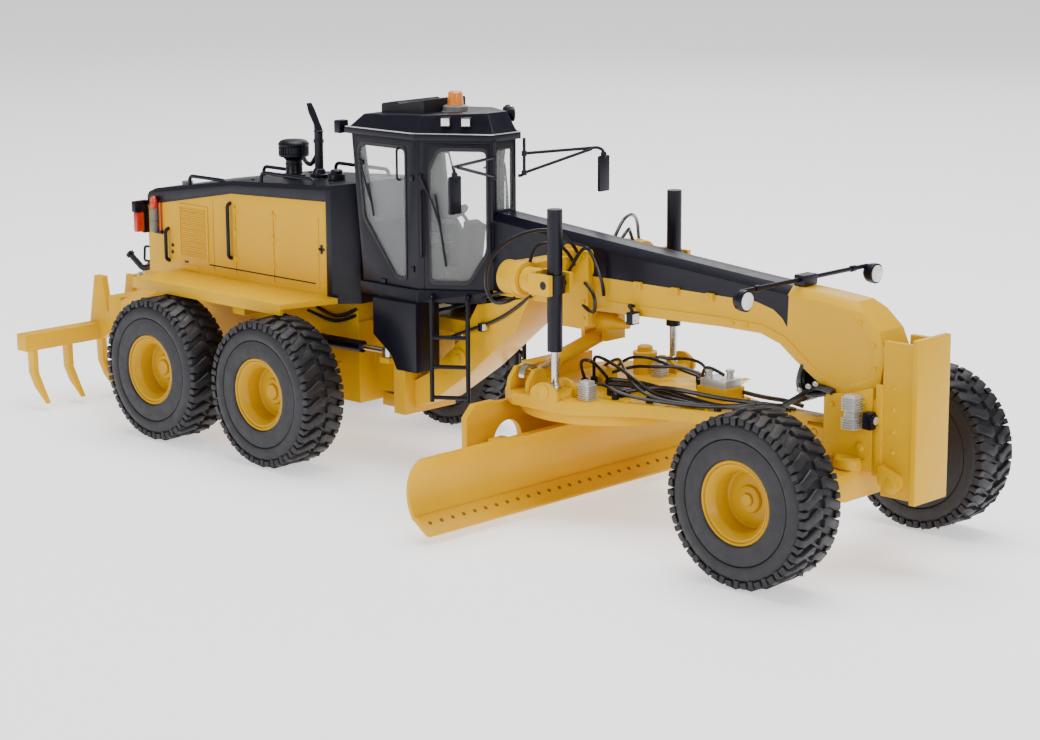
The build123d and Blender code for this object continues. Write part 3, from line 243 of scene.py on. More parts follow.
def piece(name, form, material, body, replaces=(), crease=32.0):
    """Makes a bmesh into a finished piece that rides on a body."""
    mesh = bpy.data.meshes.new(name)
    bmesh.ops.recalc_face_normals(form, faces=form.faces)
    form.to_mesh(mesh)
    form.free()
    mesh.materials.append(material)
    mesh.shade_smooth()
    mesh.set_sharp_from_angle(angle=math.radians(crease))
    obj = bpy.data.objects.new(name, mesh)
    bpy.context.collection.objects.link(obj)
    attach(obj, body)
    if replaces:
        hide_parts(*replaces)


def joined(forms):
    """One bmesh from several."""
    whole = bmesh.new()
    for form in forms:
        mesh = bpy.data.meshes.new("part")
        form.to_mesh(mesh)
        form.free()
        whole.from_mesh(mesh)
        bpy.data.meshes.remove(mesh)
    return whole


def bevel(form, edges, width):
    """Rounds some edges by a width in millimetres."""
    bmesh.ops.bevel(form, geom=edges, offset=width * MM, segments=2, profile=0.6, affect="EDGES",
                    clamp_overlap=True)


sharp_angle = math.radians(25.0)
flat_angle = math.radians(0.1)
weld_distance = 1e-7


def eased(form, width):
    """Rounds the edges that turn by more than the sharp angle."""
    sharp = [e for e in form.edges if len(e.link_faces) == 2 and e.calc_face_angle() > sharp_angle]
    bevel(form, sharp, width)
    return form


def from_node(node, width):
    """A copy of a CAD node's mesh with its flat faces joined up and its edges rounded."""
    form = bmesh.new()
    form.from_mesh(frame["nodes"][node].data)
    bmesh.ops.remove_doubles(form, verts=form.verts, dist=weld_distance)
    bmesh.ops.dissolve_limit(form, angle_limit=flat_angle, verts=form.verts, edges=form.edges)
    # Hollow corners are joined up first, because a ring-shaped face would fold over itself.
    bmesh.ops.connect_verts_concave(form, faces=form.faces[:])
    return eased(form, width) if width else form


def block(low, high, width=0.15):
    """A box between two corners with eased edges."""
    low, high = at(*low), at(*high)
    form = bmesh.new()
    bmesh.ops.create_cube(form, size=1.0)
    bmesh.ops.scale(form, vec=[abs(b - a) for a, b in zip(low, high)], verts=form.verts)
    bmesh.ops.translate(form, vec=(low + high) / 2, verts=form.verts)
    return eased(form, width) if width else form


def turned(profile, start, way, steps=40):
    """A solid turned about an axis. The profile is radius and distance along the axis, in millimetres."""
    form = bmesh.new()
    axis = Vector(way).normalized()
    across = axis.orthogonal().normalized()
    other = axis.cross(across)
    rings = []
    for radius, along in profile:
        centre = at(*start) + axis * along * MM
        if radius == 0:
            rings.append([form.verts.new(centre)])
        else:
            angles = [2 * math.pi * k / steps for k in range(steps)]
            rings.append([form.verts.new(centre + (across * math.cos(a) + other * math.sin(a)) * radius * MM)
                          for a in angles])
    for first, second in zip(rings, rings[1:]):
        for k in range(steps):
            n = (k + 1) % steps
            corners = [ring[m % len(ring)] for ring, m in ((first, k), (first, n), (second, n), (second, k))]
            unique = list(dict.fromkeys(corners))
            if len(unique) > 2:
                form.faces.new(unique)
    for ring, flip in ((rings[0], True), (rings[-1], False)):
        if len(ring) > 1:
            form.faces.new(ring[::-1] if flip else ring)
    return form


def on_flank(along, up, out):
    """A place over an upright plane that runs along X."""
    return at(along, out, up)


def prism(outline, low, high, width=0.0):
    """An upright outline, as places along X and up, carried between two distances along Y."""
    form = bmesh.new()
    near = [form.verts.new(on_flank(a, b, low)) for a, b in outline]
    far = [form.verts.new(on_flank(a, b, high)) for a, b in outline]
    form.faces.new(near)
    form.faces.new(far[::-1])
    count = len(outline)
    for k in range(count):
        form.faces.new((near[k], near[(k + 1) % count], far[(k + 1) % count], far[k]))
    bmesh.ops.recalc_face_normals(form, faces=form.faces)
    return eased(form, width) if width else form


def flipped(form):
    """The same form on the other side of the model."""
    copy = form.copy()
    bmesh.ops.scale(copy, vec=(1, -1, 1), verts=copy.verts)
    bmesh.ops.reverse_faces(copy, faces=copy.faces)
    return copy


def both(form):
    """A form and its copy on the other side."""
    return joined([form, flipped(form)])


def turn_about(form, degrees, axis):
    """Turns a form about an axis through the origin."""
    turn = Matrix.Rotation(math.radians(degrees), 3, axis)
    bmesh.ops.rotate(form, verts=form.verts, cent=(0, 0, 0), matrix=turn)


# Geometry node trees

def new_tree(name, **inputs):
    """A geometry tree with named inputs. Returns the tree and what its input node gives."""
    tree = bpy.data.node_groups.new(name, "GeometryNodeTree")
    for label, kind in {"Geometry": "Geometry", **inputs}.items():
        tree.interface.new_socket(label, in_out="INPUT", socket_type="NodeSocket" + kind)
    tree.interface.new_socket("Geometry", in_out="OUTPUT", socket_type="NodeSocketGeometry")
    return tree, tree.nodes.new("NodeGroupInput").outputs


def finish_tree(tree, given, geometry):
    """Ends a tree in Realize Instances and Set Material."""
    real = add_node(tree, "GeometryNodeRealizeInstances", {0: geometry})
    paint = add_node(tree, "GeometryNodeSetMaterial",
                     {"Geometry": real.outputs[0], "Material": given["Material"]})
    add_node(tree, "NodeGroupOutput", {0: paint.outputs[0]})
    return tree


def make_ring_tree():
    """Copies of a form round the Y axis."""
    tree, given = new_tree("ring_of_copies", Copies="Int", Material="Material")
    points = add_node(tree, "GeometryNodePoints", {"Count": given["Copies"]})
    step = add_node(tree, "ShaderNodeMath", {0: 2 * math.pi, 1: given["Copies"]}, operation="DIVIDE")
    index = add_node(tree, "GeometryNodeInputIndex")
    angle = add_node(tree, "ShaderNodeMath", {0: index.outputs[0], 1: step.outputs[0]}, operation="MULTIPLY")
    turn = add_node(tree, "ShaderNodeCombineXYZ", {"Y": angle.outputs[0]})
    copies = add_node(tree, "GeometryNodeInstanceOnPoints", {
        "Points": points.outputs[0], "Instance": given["Geometry"], "Rotation": turn.outputs[0]})
    return finish_tree(tree, given, copies.outputs[0])


def make_row_tree():
    """Copies of a form in a straight row."""
    tree, given = new_tree("row_of_copies", Copies="Int", Step="Vector", Material="Material")
    line = add_node(tree, "GeometryNodeMeshLine", {"Count": given["Copies"], "Offset": given["Step"]},
                    mode="OFFSET")
    copies = add_node(tree, "GeometryNodeInstanceOnPoints",
                      {"Points": line.outputs[0], "Instance": given["Geometry"]})
    return finish_tree(tree, given, copies.outputs[0])


def make_tube_tree():
    """A round bar or hose along a curve, with its corners rounded by the fillet."""
    tree, given = new_tree("tube_on_curve", Radius="Float", Fillet="Float", Sides="Int", Material="Material")
    fillet = add_node(tree, "GeometryNodeFilletCurve", {
        "Count": 5, "Limit Radius": True, "Curve": given["Geometry"], "Radius": given["Fillet"]}, mode="POLY")
    ring = add_node(tree, "GeometryNodeCurvePrimitiveCircle",
                    {"Resolution": given["Sides"], "Radius": given["Radius"]})
    sweep = add_node(tree, "GeometryNodeCurveToMesh", {
        "Fill Caps": True, "Curve": fillet.outputs[0], "Profile Curve": ring.outputs[0]})
    return finish_tree(tree, given, sweep.outputs[0])


ring_tree = make_ring_tree()
row_tree = make_row_tree()
tube_tree = make_tube_tree()


def grown(tree, source, **values):
    """The plain mesh that a tree makes from a bmesh or a curve."""
    if isinstance(source, bmesh.types.BMesh):
        mesh = bpy.data.meshes.new("seed")
        source.to_mesh(mesh)
        source.free()
        source = mesh
    seed = bpy.data.objects.new("seed", source)
    bpy.context.collection.objects.link(seed)
    modifier = seed.modifiers.new("grow", "NODES")
    modifier.node_group = tree
    for item in tree.interface.items_tree:
        if item.in_out == "INPUT" and item.name in values:
            modifier[item.identifier] = values[item.name]
    grown_mesh = bpy.data.meshes.new_from_object(seed.evaluated_get(bpy.context.evaluated_depsgraph_get()))
    bpy.data.objects.remove(seed)
    return grown_mesh


def as_form(mesh):
    """A mesh turned into a bmesh, and its own data removed."""
    form = bmesh.new()
    form.from_mesh(mesh)
    bpy.data.meshes.remove(mesh)
    return form


def path(points, smooth):
    """A curve through points: a smooth spline for a hose, straight runs for a bent bar."""
    curve = bpy.data.curves.new("path", "CURVE")
    curve.dimensions = "3D"
    spline = curve.splines.new("NURBS" if smooth else "POLY")
    spline.points.add(len(points) - 1)
    for place, point in zip(spline.points, points):
        place.co = (*at(*point), 1)
    if smooth:
        spline.order_u = 3
        spline.use_endpoint_u = True
        curve.resolution_u = 8
    return curve


def tube(points, radius, material, smooth=False, fillet=0.0, sides=12):
    """A hose or a bent bar, as a bmesh. Only a bent bar has a fillet at its corners."""
    return as_form(grown(tube_tree, path(points, smooth), Radius=radius * MM, Fillet=fillet * MM,
                         Sides=sides, Material=material))


# Wheels

tyre_width, half_track, axle_height = 11.0, 27.05, 16.1
lug_count = 28
wheel_stations = {"front": 0.0, "mid": -128.9, "rear": -165.7}
# Sidewall, from the rim outwards: radius and distance in from the outer face.
sidewall = ((7.75, 0.5), (8.0, 0.1), (8.7, 0.0), (10.9, 0.25), (11.35, 0.3), (11.5, 0.5), (11.65, 0.22),
            (12.2, 0.05), (13.6, 0.2), (14.2, 0.55), (14.5, 0.95), (14.95, 1.5), (15.1, 2.4))
# Tread block seen from above: distance from the middle plane and along the tread.
lug_plan = ((0.35, -0.75), (1.5, -1.25), (4.3, 0.2), (5.25, 0.55), (5.3, 1.85), (4.2, 2.15), (1.2, 0.75),
            (0.3, 0.9))
lug_root, lug_top, lug_shoulder, carcass_top = 14.3, 15.9, 4.2, 14.7
# Shares that the block's top narrows to, and how far its shoulder falls for each millimetre outwards.
lug_taper, lug_draft, shoulder_fall = 0.96, 0.985, 0.35


def wheel_frame(form, station, side):
    """Carries a form made about the origin, with its outer face towards -Y, to its wheel."""
    if side == LEFT:
        turn_about(form, 180, "Z")
    bmesh.ops.translate(form, verts=form.verts, vec=at(station, side * half_track, axle_height))
    return form


def about_origin(form):
    """Moves a form made by at() so that the model's zero lands on the origin."""
    bmesh.ops.translate(form, verts=form.verts, vec=-at(0, 0, 0))
    return form


def lug_form():
    """One long tread block of the right half, at the top of the tyre."""
    lug = bmesh.new()
    low = [lug.verts.new((s * MM, -y * MM, lug_root * MM)) for y, s in lug_plan]
    high = []
    for y, s in lug_plan:
        drop = max(0, y - lug_shoulder) * shoulder_fall
        rise = math.sqrt(lug_top ** 2 - s * s)
        high.append(lug.verts.new((s * MM * lug_taper, -y * MM * lug_draft, rise * MM - drop * MM)))
    lug.faces.new(low[::-1])
    lug.faces.new(high)
    for k in range(len(lug_plan)):
        n = (k + 1) % len(lug_plan)
        lug.faces.new((low[k], low[n], high[n], high[k]))
    bmesh.ops.recalc_face_normals(lug, faces=lug.faces)
    bevel(lug, [e for e in lug.edges if all(v.co.z > carcass_top * MM for v in e.verts)], 0.22)
    return lug


def knob_form():
    """The small block between two long ones, at the shoulder."""
    knob = bmesh.new()
    bmesh.ops.create_cube(knob, size=1.0)
    bmesh.ops.scale(knob, vec=(1.1 * MM, 1.5 * MM, 1.5 * MM), verts=knob.verts)
    bevel(knob, knob.edges[:], 0.2)
    bmesh.ops.translate(knob, verts=knob.verts, vec=(-0.6 * MM, -4.55 * MM, 14.75 * MM))
    return knob


def tyre_form():
    """A tyre about the Y axis, open at the bore. The tread blocks of its halves are half a step apart."""
    edge = tyre_width / 2
    outer = [(r, -edge + d) for r, d in sidewall]
    inner = [(r, edge - d) for r, d in reversed(sidewall)]
    carcass = about_origin(turned(outer + inner, (0, 0, 0), (0, 1, 0), steps=84))
    bore_ends = [f for f in carcass.faces if len(f.verts) > 4]
    bmesh.ops.delete(carcass, geom=bore_ends, context="FACES")
    pair = joined([lug_form(), knob_form()])
    second = flipped(pair)
    turn_about(second, 180 / lug_count, "Y")
    tread = as_form(grown(ring_tree, joined([pair, second]), Copies=lug_count, Material=rubber))
    return joined([carcass, tread])


# Rims, from the middle outwards: radius and distance in from the tyre's outer face.
rim_lip = ((6.7, 0.65), (6.95, 0.62), (7.05, 0.75), (7.2, 0.78), (7.3, 0.4), (7.55, 0.35), (7.74, 0.5))
front_rim = ((0, 3.55), (1.05, 3.55), (1.2, 3.7), (1.25, 4), (2.3, 4.15), (2.45, 4.3), (2.6, 4.8),
             (4.9, 5.25), (5.35, 4.9), (5.6, 2.2), (5.75, 1.7)) + rim_lip
driven_rim = ((0, 3.9), (1.5, 3.9), (1.7, 4.1), (1.75, 4.35), (2.6, 4.45), (2.75, 4.65), (2.8, 5), (4.9, 5.3),
              (5.3, 5), (5.55, 2.4), (5.7, 1.9)) + rim_lip


def rim_form(face):
    """A rim turned from its face and a plain back with a hub."""
    edge, flange, hub = tyre_width / 2, tyre_width - 0.6, tyre_width - 1.3
    back = ((7.74, flange), (6.9, flange), (6.6, 7), (2.1, 6.6), (2.1, hub), (1.35, hub), (1.35, 6.4),
            (0, 6.4))
    profile = [(radius, depth - edge) for radius, depth in face + back]
    return about_origin(turned(profile, (0, 0, 0), (0, 1, 0), 72))


def make_wheels():
    """Six tyres and rims, each on its own turning body."""
    tyre, front, driven = tyre_form(), rim_form(front_rim), rim_form(driven_rim)
    for place, station in wheel_stations.items():
        rim = front if place == "front" else driven
        for side, name in side_names.items():
            wheel = f"{place}_{name}"
            for form, new, old, material, crease in ((tyre, "tread_", "tyre_", rubber, 38),
                                                     (rim, "dish_", "rim_", rim_enamel, 40)):
                placed = wheel_frame(form.copy(), station, side)
                piece(new + wheel, placed, material, "wheel_" + wheel, [old + wheel], crease)


# Castings that keep the shape of the solid, with eased edges: node, finish and edge width.
castings = (
    ("front_frame", banded, 0.35), ("front_axle", enamel, 0.3), ("push_block", enamel, 0.18),
    ("lift_saddle", enamel, 0.3), ("rear_chassis", enamel, 0.3), ("tandem_cases", enamel, 0.3),
    ("walkways", enamel, 0.2), ("drawbar", enamel, 0.25), ("circle", enamel, 0.2),
    ("blade_bracket", enamel, 0.15), ("ripper", enamel, 0.2), ("hood", black, 0.5),
    ("engine_housing", enamel, 0.2), ("blade", enamel, 0.12), ("cab_frame", black, 0.12),
    ("cab_doors", black, 0.1), ("cab_roof", black, 0.5), ("cab_platform", black, 0.25),
    ("tie_rod", enamel, 0), ("drawbar_link", enamel, 0.1), ("cab_interior", plastic, 0.3))


def make_castings():
    for node, material, width in castings:
        piece(node + "_cast", from_node(node, width), material, body_of[node], [node])


bright_rods = ("lift_rod", "articulation_rod", "ripper_rod", "centreshift_rod")
dark_barrels = ("lift_barrel", "articulation_barrel", "ripper_barrel")


def plain_finish(node):
    if node == "cab_glass":
        return glass
    if node.startswith(bright_rods):
        return steel
    return black if node.startswith(dark_barrels) else enamel


def paint_plain_nodes():
    """Gives each solid that stays as it is its own finish."""
    for node, obj in frame["nodes"].items():
        if not obj.hide_render:
            obj.data.materials.clear()
            obj.data.materials.append(plain_finish(node))


# Bars, hoses and small fittings

def bars(rows, radius, fillet=0.5, sides=12):
    """Bent round bars, one for each row of points."""
    return joined([tube(points, radius, black, fillet=fillet, sides=sides) for points in rows])


def hoses(rows, radius):
    """Moulded hoses, bent smoothly through each row of points."""
    return joined([tube(points, radius, hose_black, smooth=True, sides=8) for points in rows])


def button(place, way, radius=0.35, height=0.3):
    """A small domed fastener that stands on a face."""
    profile = [(radius, -0.1), (radius, height * 0.6), (radius * 0.7, height), (0, height)]
    return turned(profile, place, way, 12)


def bolt(place, way, radius=0.38):
    """A six-sided head on a washer."""
    height, washer = 0.3, radius * 1.35
    top = height * 1.2
    return joined([turned([(washer, -0.05), (washer, height * 0.3)], place, way, 12),
                   turned([(radius, 0), (radius, height), (radius * 0.6, top), (0, top)], place, way, 6)])


def rounded(outline, radius):
    """A flat outline with its corners rounded."""
    steps = 4
    corners = [Vector(point) for point in outline]
    result = []
    for k, corner in enumerate(corners):
        before = corners[k - 1] - corner
        after = corners[(k + 1) % len(corners)] - corner
        reach = min(radius, before.length * 0.45, after.length * 0.45)
        first, last = corner + before.normalized() * reach, corner + after.normalized() * reach
        for share in (s / steps for s in range(steps + 1)):
            result.append((1 - share) ** 2 * first + 2 * share * (1 - share) * corner + share ** 2 * last)
    return result


def ring_plate(outer, inner, place, low, high):
    """A flat ring between two outlines, from one depth to another."""
    form = bmesh.new()
    edges = []
    for outline in (outer, inner):
        verts = [form.verts.new(place(a, b, low)) for a, b in outline]
        edges += [form.edges.new((verts[k], verts[(k + 1) % len(verts)])) for k in range(len(verts))]
    bmesh.ops.triangle_fill(form, edges=edges, use_beauty=True)
    raised = bmesh.ops.extrude_face_region(form, geom=form.faces[:])
    moved = [v for v in raised["geom"] if isinstance(v, bmesh.types.BMVert)]
    bmesh.ops.translate(form, verts=moved, vec=place(0, 0, high) - place(0, 0, low))
    return form


def row_of(form, copies, step, material):
    """Copies of a form in a straight row. The step is in millimetres."""
    return as_form(grown(row_tree, form, Copies=copies, Step=Vector(step) * MM, Material=material))


def ribbed_block(low, high):
    """An upright cooler block with level fins."""
    inset, pitch = 0.35, 0.46
    core = block((low[0] + inset, low[1] + inset, low[2]), (high[0] - inset, high[1] - inset, high[2]), 0.1)
    fin = block((low[0], low[1], low[2] + 0.15), (high[0], high[1], low[2] + 0.15 + pitch * 0.5), 0.06)
    count = int((high[2] - low[2] - 0.3) / pitch)
    return joined([core, row_of(fin, count, (0, 0, pitch), silver)])


def lamp_parts(place, turn, half_width=1.1, half_height=1, depth=0.5, back=False):
    """Black box and pale lens of a work lamp, which looks along +X before its turn in degrees."""
    facing = -1 if back else 1
    box_form = block((-depth, -half_width, -half_height), (depth, half_width, half_height), 0.22)
    lens_form = block((facing * (depth - 0.1), -half_width * 0.78, -half_height * 0.76),
                      (facing * (depth + 0.12), half_width * 0.78, half_height * 0.76), 0.1)
    for form in (box_form, lens_form):
        about_origin(form)
        turn_about(form, turn, "Z")
        bmesh.ops.translate(form, verts=form.verts, vec=at(*place))
    return box_form, lens_form


UP, OUT = (0, 0, 1), (0, -1, 0)

# Engine housing, whose walls stand 12.5 mm from the middle plane

def make_engine_trim():
    """Handrails, handles, latches, hinges and frames of the engine housing."""
    rails = []
    for start, end, top, first, last in ((-176.2, -163.8, 56.2, 2.5, 0.6), (-151.2, -133.8, 59.2, 2.4, 1.4)):
        rails.append([(start, -11, top - first), (start, -11, top), (end, -11, top), (end, -11, top - last)])
    for x, low, high in ((-160.2, 39.3, 51.7), (-182.5, 36.3, 43.7)):
        rails.append([(x, -12.4, high), (x, -13.45, high), (x, -13.45, low), (x, -12.4, low)])
    piece("handrails", both(bars(rails, 0.42, 1.2)), black, "rear_unit", ["hood_rails"])

    small = [button((x, -12.5, z), OUT, 0.42, 0.25) for x, z in ((-130, 44.6), (-181.1, 40), (-181.2, 38.4))]
    small += [block((-130.9, -12.75, 44.3), (-129.1, -12.4, 44.9), 0.08),
              block((-130.3, -12.75, 43.6), (-129.7, -12.4, 45.6), 0.08)]
    seal = [(-190, 48.4), (-159.8, 53.8), (-128.6, 55), (-128.6, 55.8), (-159.8, 54.6), (-190, 49.2)]
    small.append(prism(seal, -12.6, -12.2))
    small.append(block((-176.9, -12.62, 36.4), (-175.6, -12.4, 36.9), 0.05))
    small.append(block((-168.1, -12.54, 36.75), (-132.2, -12.4, 37.05), 0))
    piece("latches", both(joined(small)), plastic, "rear_unit")

    hinges = []
    knuckle = [(0.3, -0.8), (0.38, -0.7), (0.38, 0.7), (0.3, 0.8)]
    for x in (-158.7, -145.8):
        for z in (39.2, 45, 50):
            hinges.append(turned(knuckle, (x, -12.6, z), UP, 10))
            hinges.append(block((x - 0.9, -12.62, z - 0.5), (x + 0.9, -12.45, z + 0.5), 0.06))
    frame_outline = [(-178.6, 37.4), (-168.2, 37.4), (-168.2, 49.9), (-178.6, 49.9)]
    opening = [(-178, 38), (-168.8, 38), (-168.8, 49.3), (-178, 49.3)]
    hinges.append(ring_plate(rounded(frame_outline, 0.5), rounded(opening, 0.3), on_flank, -12.75, -12.45))
    hinges.append(block((-177.9, -12.66, 34.75), (-171.9, -12.4, 36), 0.08))
    hinges.append(block((-178.1, -12.5, 37.9), (-168.7, -12.2, 49.4), 0))
    slat = block((-178.1, -12.68, 38), (-168.7, -12.4, 38.2), 0.04)
    hinges.append(row_of(slat, 29, (0, 0, 0.395), enamel))
    piece("hinges", both(joined(hinges)), enamel, "rear_unit")
    make_rear_lamps()
    make_stacks()


def make_rear_lamps():
    """Round lamps at the rear corners, the lamp clusters and the tow hook of the rear wall."""
    corner = (-186.6, -13.4, 0)
    foot = [(0.75, 42.6), (0.85, 42.8), (0.85, 44.9), (0.7, 45), (0.7, 45.3), (0.85, 45.4), (0.85, 47.9),
            (0.6, 48.1)]
    lens = [(0.8, 48), (0.95, 48.3), (0.95, 49.6), (0.7, 50.5), (0.3, 50.8), (0, 50.85)]
    red = [turned(lens, corner, UP, 24),
           turned([(0.3, 42.8), (0.3, 49.4), (0, 49.5)], (-184.9, -12.9, 0), UP, 12),
           block((-191.6, -15.6, 42.2), (-190.1, -13.2, 46.9), 0.45),
           block((-191.6, -10.8, 43.3), (-191.2, -9.2, 46.2), 0.12)]
    dark = [block(low, high, width) for low, high, width in (
        ((-191.3, -16.2, 46.9), (-189.9, -12.2, 49.5), 0.3),
        ((-191.2, -13.6, 41.9), (-190, -12.3, 47.1), 0.2),
        ((-191.35, -11, 43), (-189.95, -9, 46.5), 0.2),
        ((-190.6, -13, 42), (-189.6, -12, 48), 0.1),
        ((-187.2, -13.2, 42.2), (-184.4, -12.4, 43), 0.1))]
    hook = [[(-189.8, -12.2, 38.6), (-191.3, -12.7, 38.6), (-191.5, -12.8, 35.2), (-189.8, -12.2, 35.2)]]
    bend = [(-189.4, -11.4, 34.2), (-192.4, -12.6, 33.2), (-195.6, -13.5, 36.2)]
    pipe = tube(bend, 0.7, black, fillet=1.5, sides=16)
    knob = turned([(0.7, 0), (1, 0.1), (1, 0.7), (0.6, 0.95), (0, 1)], (-195.5, -13.5, 36.1),
                  (-0.7, -0.2, 0.68), 16)
    piece("rear_lamps", both(joined(red)), red_lens, "rear_unit", ["rear_lights"])
    piece("rear_lamp_feet", both(turned(foot, corner, UP, 24)), grey_cap, "rear_unit")
    piece("rear_lamp_boxes", both(joined(dark + [bars(hook, 0.3), pipe, knob])), black, "rear_unit")
    filler = turned([(1.3, 0), (1.3, 0.9), (1.1, 1.15), (0, 1.2)], (-186.2, -3.6, 52.3), (-0.1, 0, 1), 24)
    piece("filler_cap_rear", filler, grey_cap, "rear_unit")


def make_stacks():
    """Exhaust, air intake with its slotted drum, and the filler cap."""
    exhaust_x, intake_x, drum_middle = -144.4, -152.8, 63.05
    bend = [(exhaust_x, 0, 57.7), (exhaust_x, 0, 69.4), (-146.2, 0, 72), (-146.8, 0, 74)]
    exhaust = [tube(bend, 0.98, black, fillet=2.2, sides=24)]
    for collar in ([(2, 57.6), (2, 58.3), (1.5, 58.5), (1.25, 59.4), (1, 59.6)],
                   [(0.9, 65.2), (1.18, 65.3), (1.18, 66), (0.9, 66.1)],
                   [(0.9, 67.6), (1.1, 67.7), (1.1, 67.9), (0.9, 68)]):
        exhaust.append(turned(collar, (exhaust_x, 0, 0), UP, 28))
    run = [(-150.2, 0, 62.6), (-149.4, 0, 61), (-147.4, 0, 60), (-146.2, 0, 61), (-145.2, 0, 62.4)]
    elbow = tube(run, 0.5, black, smooth=True)
    # The pipe's mouth is cut on a slant and closed again.
    pipe = exhaust[0]
    cut = bmesh.ops.bisect_plane(pipe, geom=pipe.verts[:] + pipe.edges[:] + pipe.faces[:],
                                 plane_co=at(-146.9, 0, 73), plane_no=(0.86, 0, 0.5), clear_outer=True)
    mouth = [e for e in cut["geom_cut"] if isinstance(e, bmesh.types.BMEdge)]
    bmesh.ops.contextual_create(pipe, geom=mouth)
    drum = [(2.5, 56.9), (2.5, 57.6), (1.95, 57.8), (1.85, 58), (1.85, 60.8), (2.3, 61.3), (3.2, 61.6),
            (3.42, 61.8), (3.42, 62.15), (3.15, 62.3), (3.15, 63.8), (3.42, 63.95), (3.5, 64.3),
            (3.38, 64.6), (2.9, 65.1), (2.5, 65.25), (0, 65.3)]
    intake = turned(drum, (intake_x, 0, 0), UP, 48)
    band = turned([(1.7, 59.5), (1.95, 59.6), (1.95, 60.1), (1.7, 60.2)], (intake_x, 0, 0), UP, 40)
    rib = about_origin(block((-0.14, -0.75, 3.1), (0.14, 0.75, 3.4), 0))
    ribs = as_form(grown(ring_tree, rib, Copies=30, Material=black))
    turn_about(ribs, 90, "X")
    bmesh.ops.translate(ribs, verts=ribs.verts, vec=at(intake_x, 0, drum_middle))
    cap = [(1.9, 57.9), (1.9, 59), (1.75, 59.3), (1.35, 59.4), (1.35, 60), (1.15, 60.2), (0, 60.2)]
    filler = turned(cap, (-136.5, -2, 0), UP, 32)
    pipes = joined(exhaust + [elbow, intake, band, ribs, filler])
    piece("stack_pipes", pipes, black, "rear_unit", ["stacks"])
    # The hood rises by 0.0573 mm for each millimetre forward.
    bolts = [button((x, y, 56.63 + (x + 159.8) * 0.0573), (-0.06, 0, 1), 0.4, 0.25)
             for x in (-157, -131) for y in (-8.5, 8.5)]
    piece("hood_buttons", joined(bolts), black, "rear_unit")


# Cab

cab_pillar, cab_side, cab_sill = -100.4, 12.4, 39.5
door_way = Vector((0.822, 0.569, 0))
door_out = Vector((0.569, -0.822, 0))
door_window = ((2.6, 1.6), (10.6, 1.6), (14.5, 8), (14.5, 29), (4.6, 29), (2.6, 25))
quarter_window = ((-103.8, 41.3), (-106.8, 41.3), (-116.4, 53), (-118, 67.3), (-116.6, 68.5), (-103.8, 68.5))
front_window = ((-2.5, 56), (2.5, 56), (2.5, 68.7), (-2.5, 68.7))
rear_window = ((-8.6, 51.5), (8.6, 51.5), (9.6, 68.1), (-9.6, 68.1))


def on_door(along, up, out=0):
    """A place on the right door: along its sill, above it and out from its face."""
    place = Vector((cab_pillar, -cab_side, cab_sill)) + door_way * along + door_out * out
    return place.x, place.y, place.z + up


def rear_wall_x(z):
    return -117 - 3 * (z - cab_sill) / 31


def window_seal(outline, place, width=0.55, radius=1.1):
    """A black seal that rounds a window's corners."""
    middle = sum((Vector(point) for point in outline), Vector((0, 0))) / len(outline)
    arms = [Vector(point) - middle for point in outline]
    outer = [middle + arm * (1 + width / arm.length) for arm in arms]
    inner = [middle + arm * (1 - width * 0.5 / arm.length) for arm in arms]
    return ring_plate(rounded(outer, radius * 1.2), rounded(inner, radius), place, -0.3, 0.16)


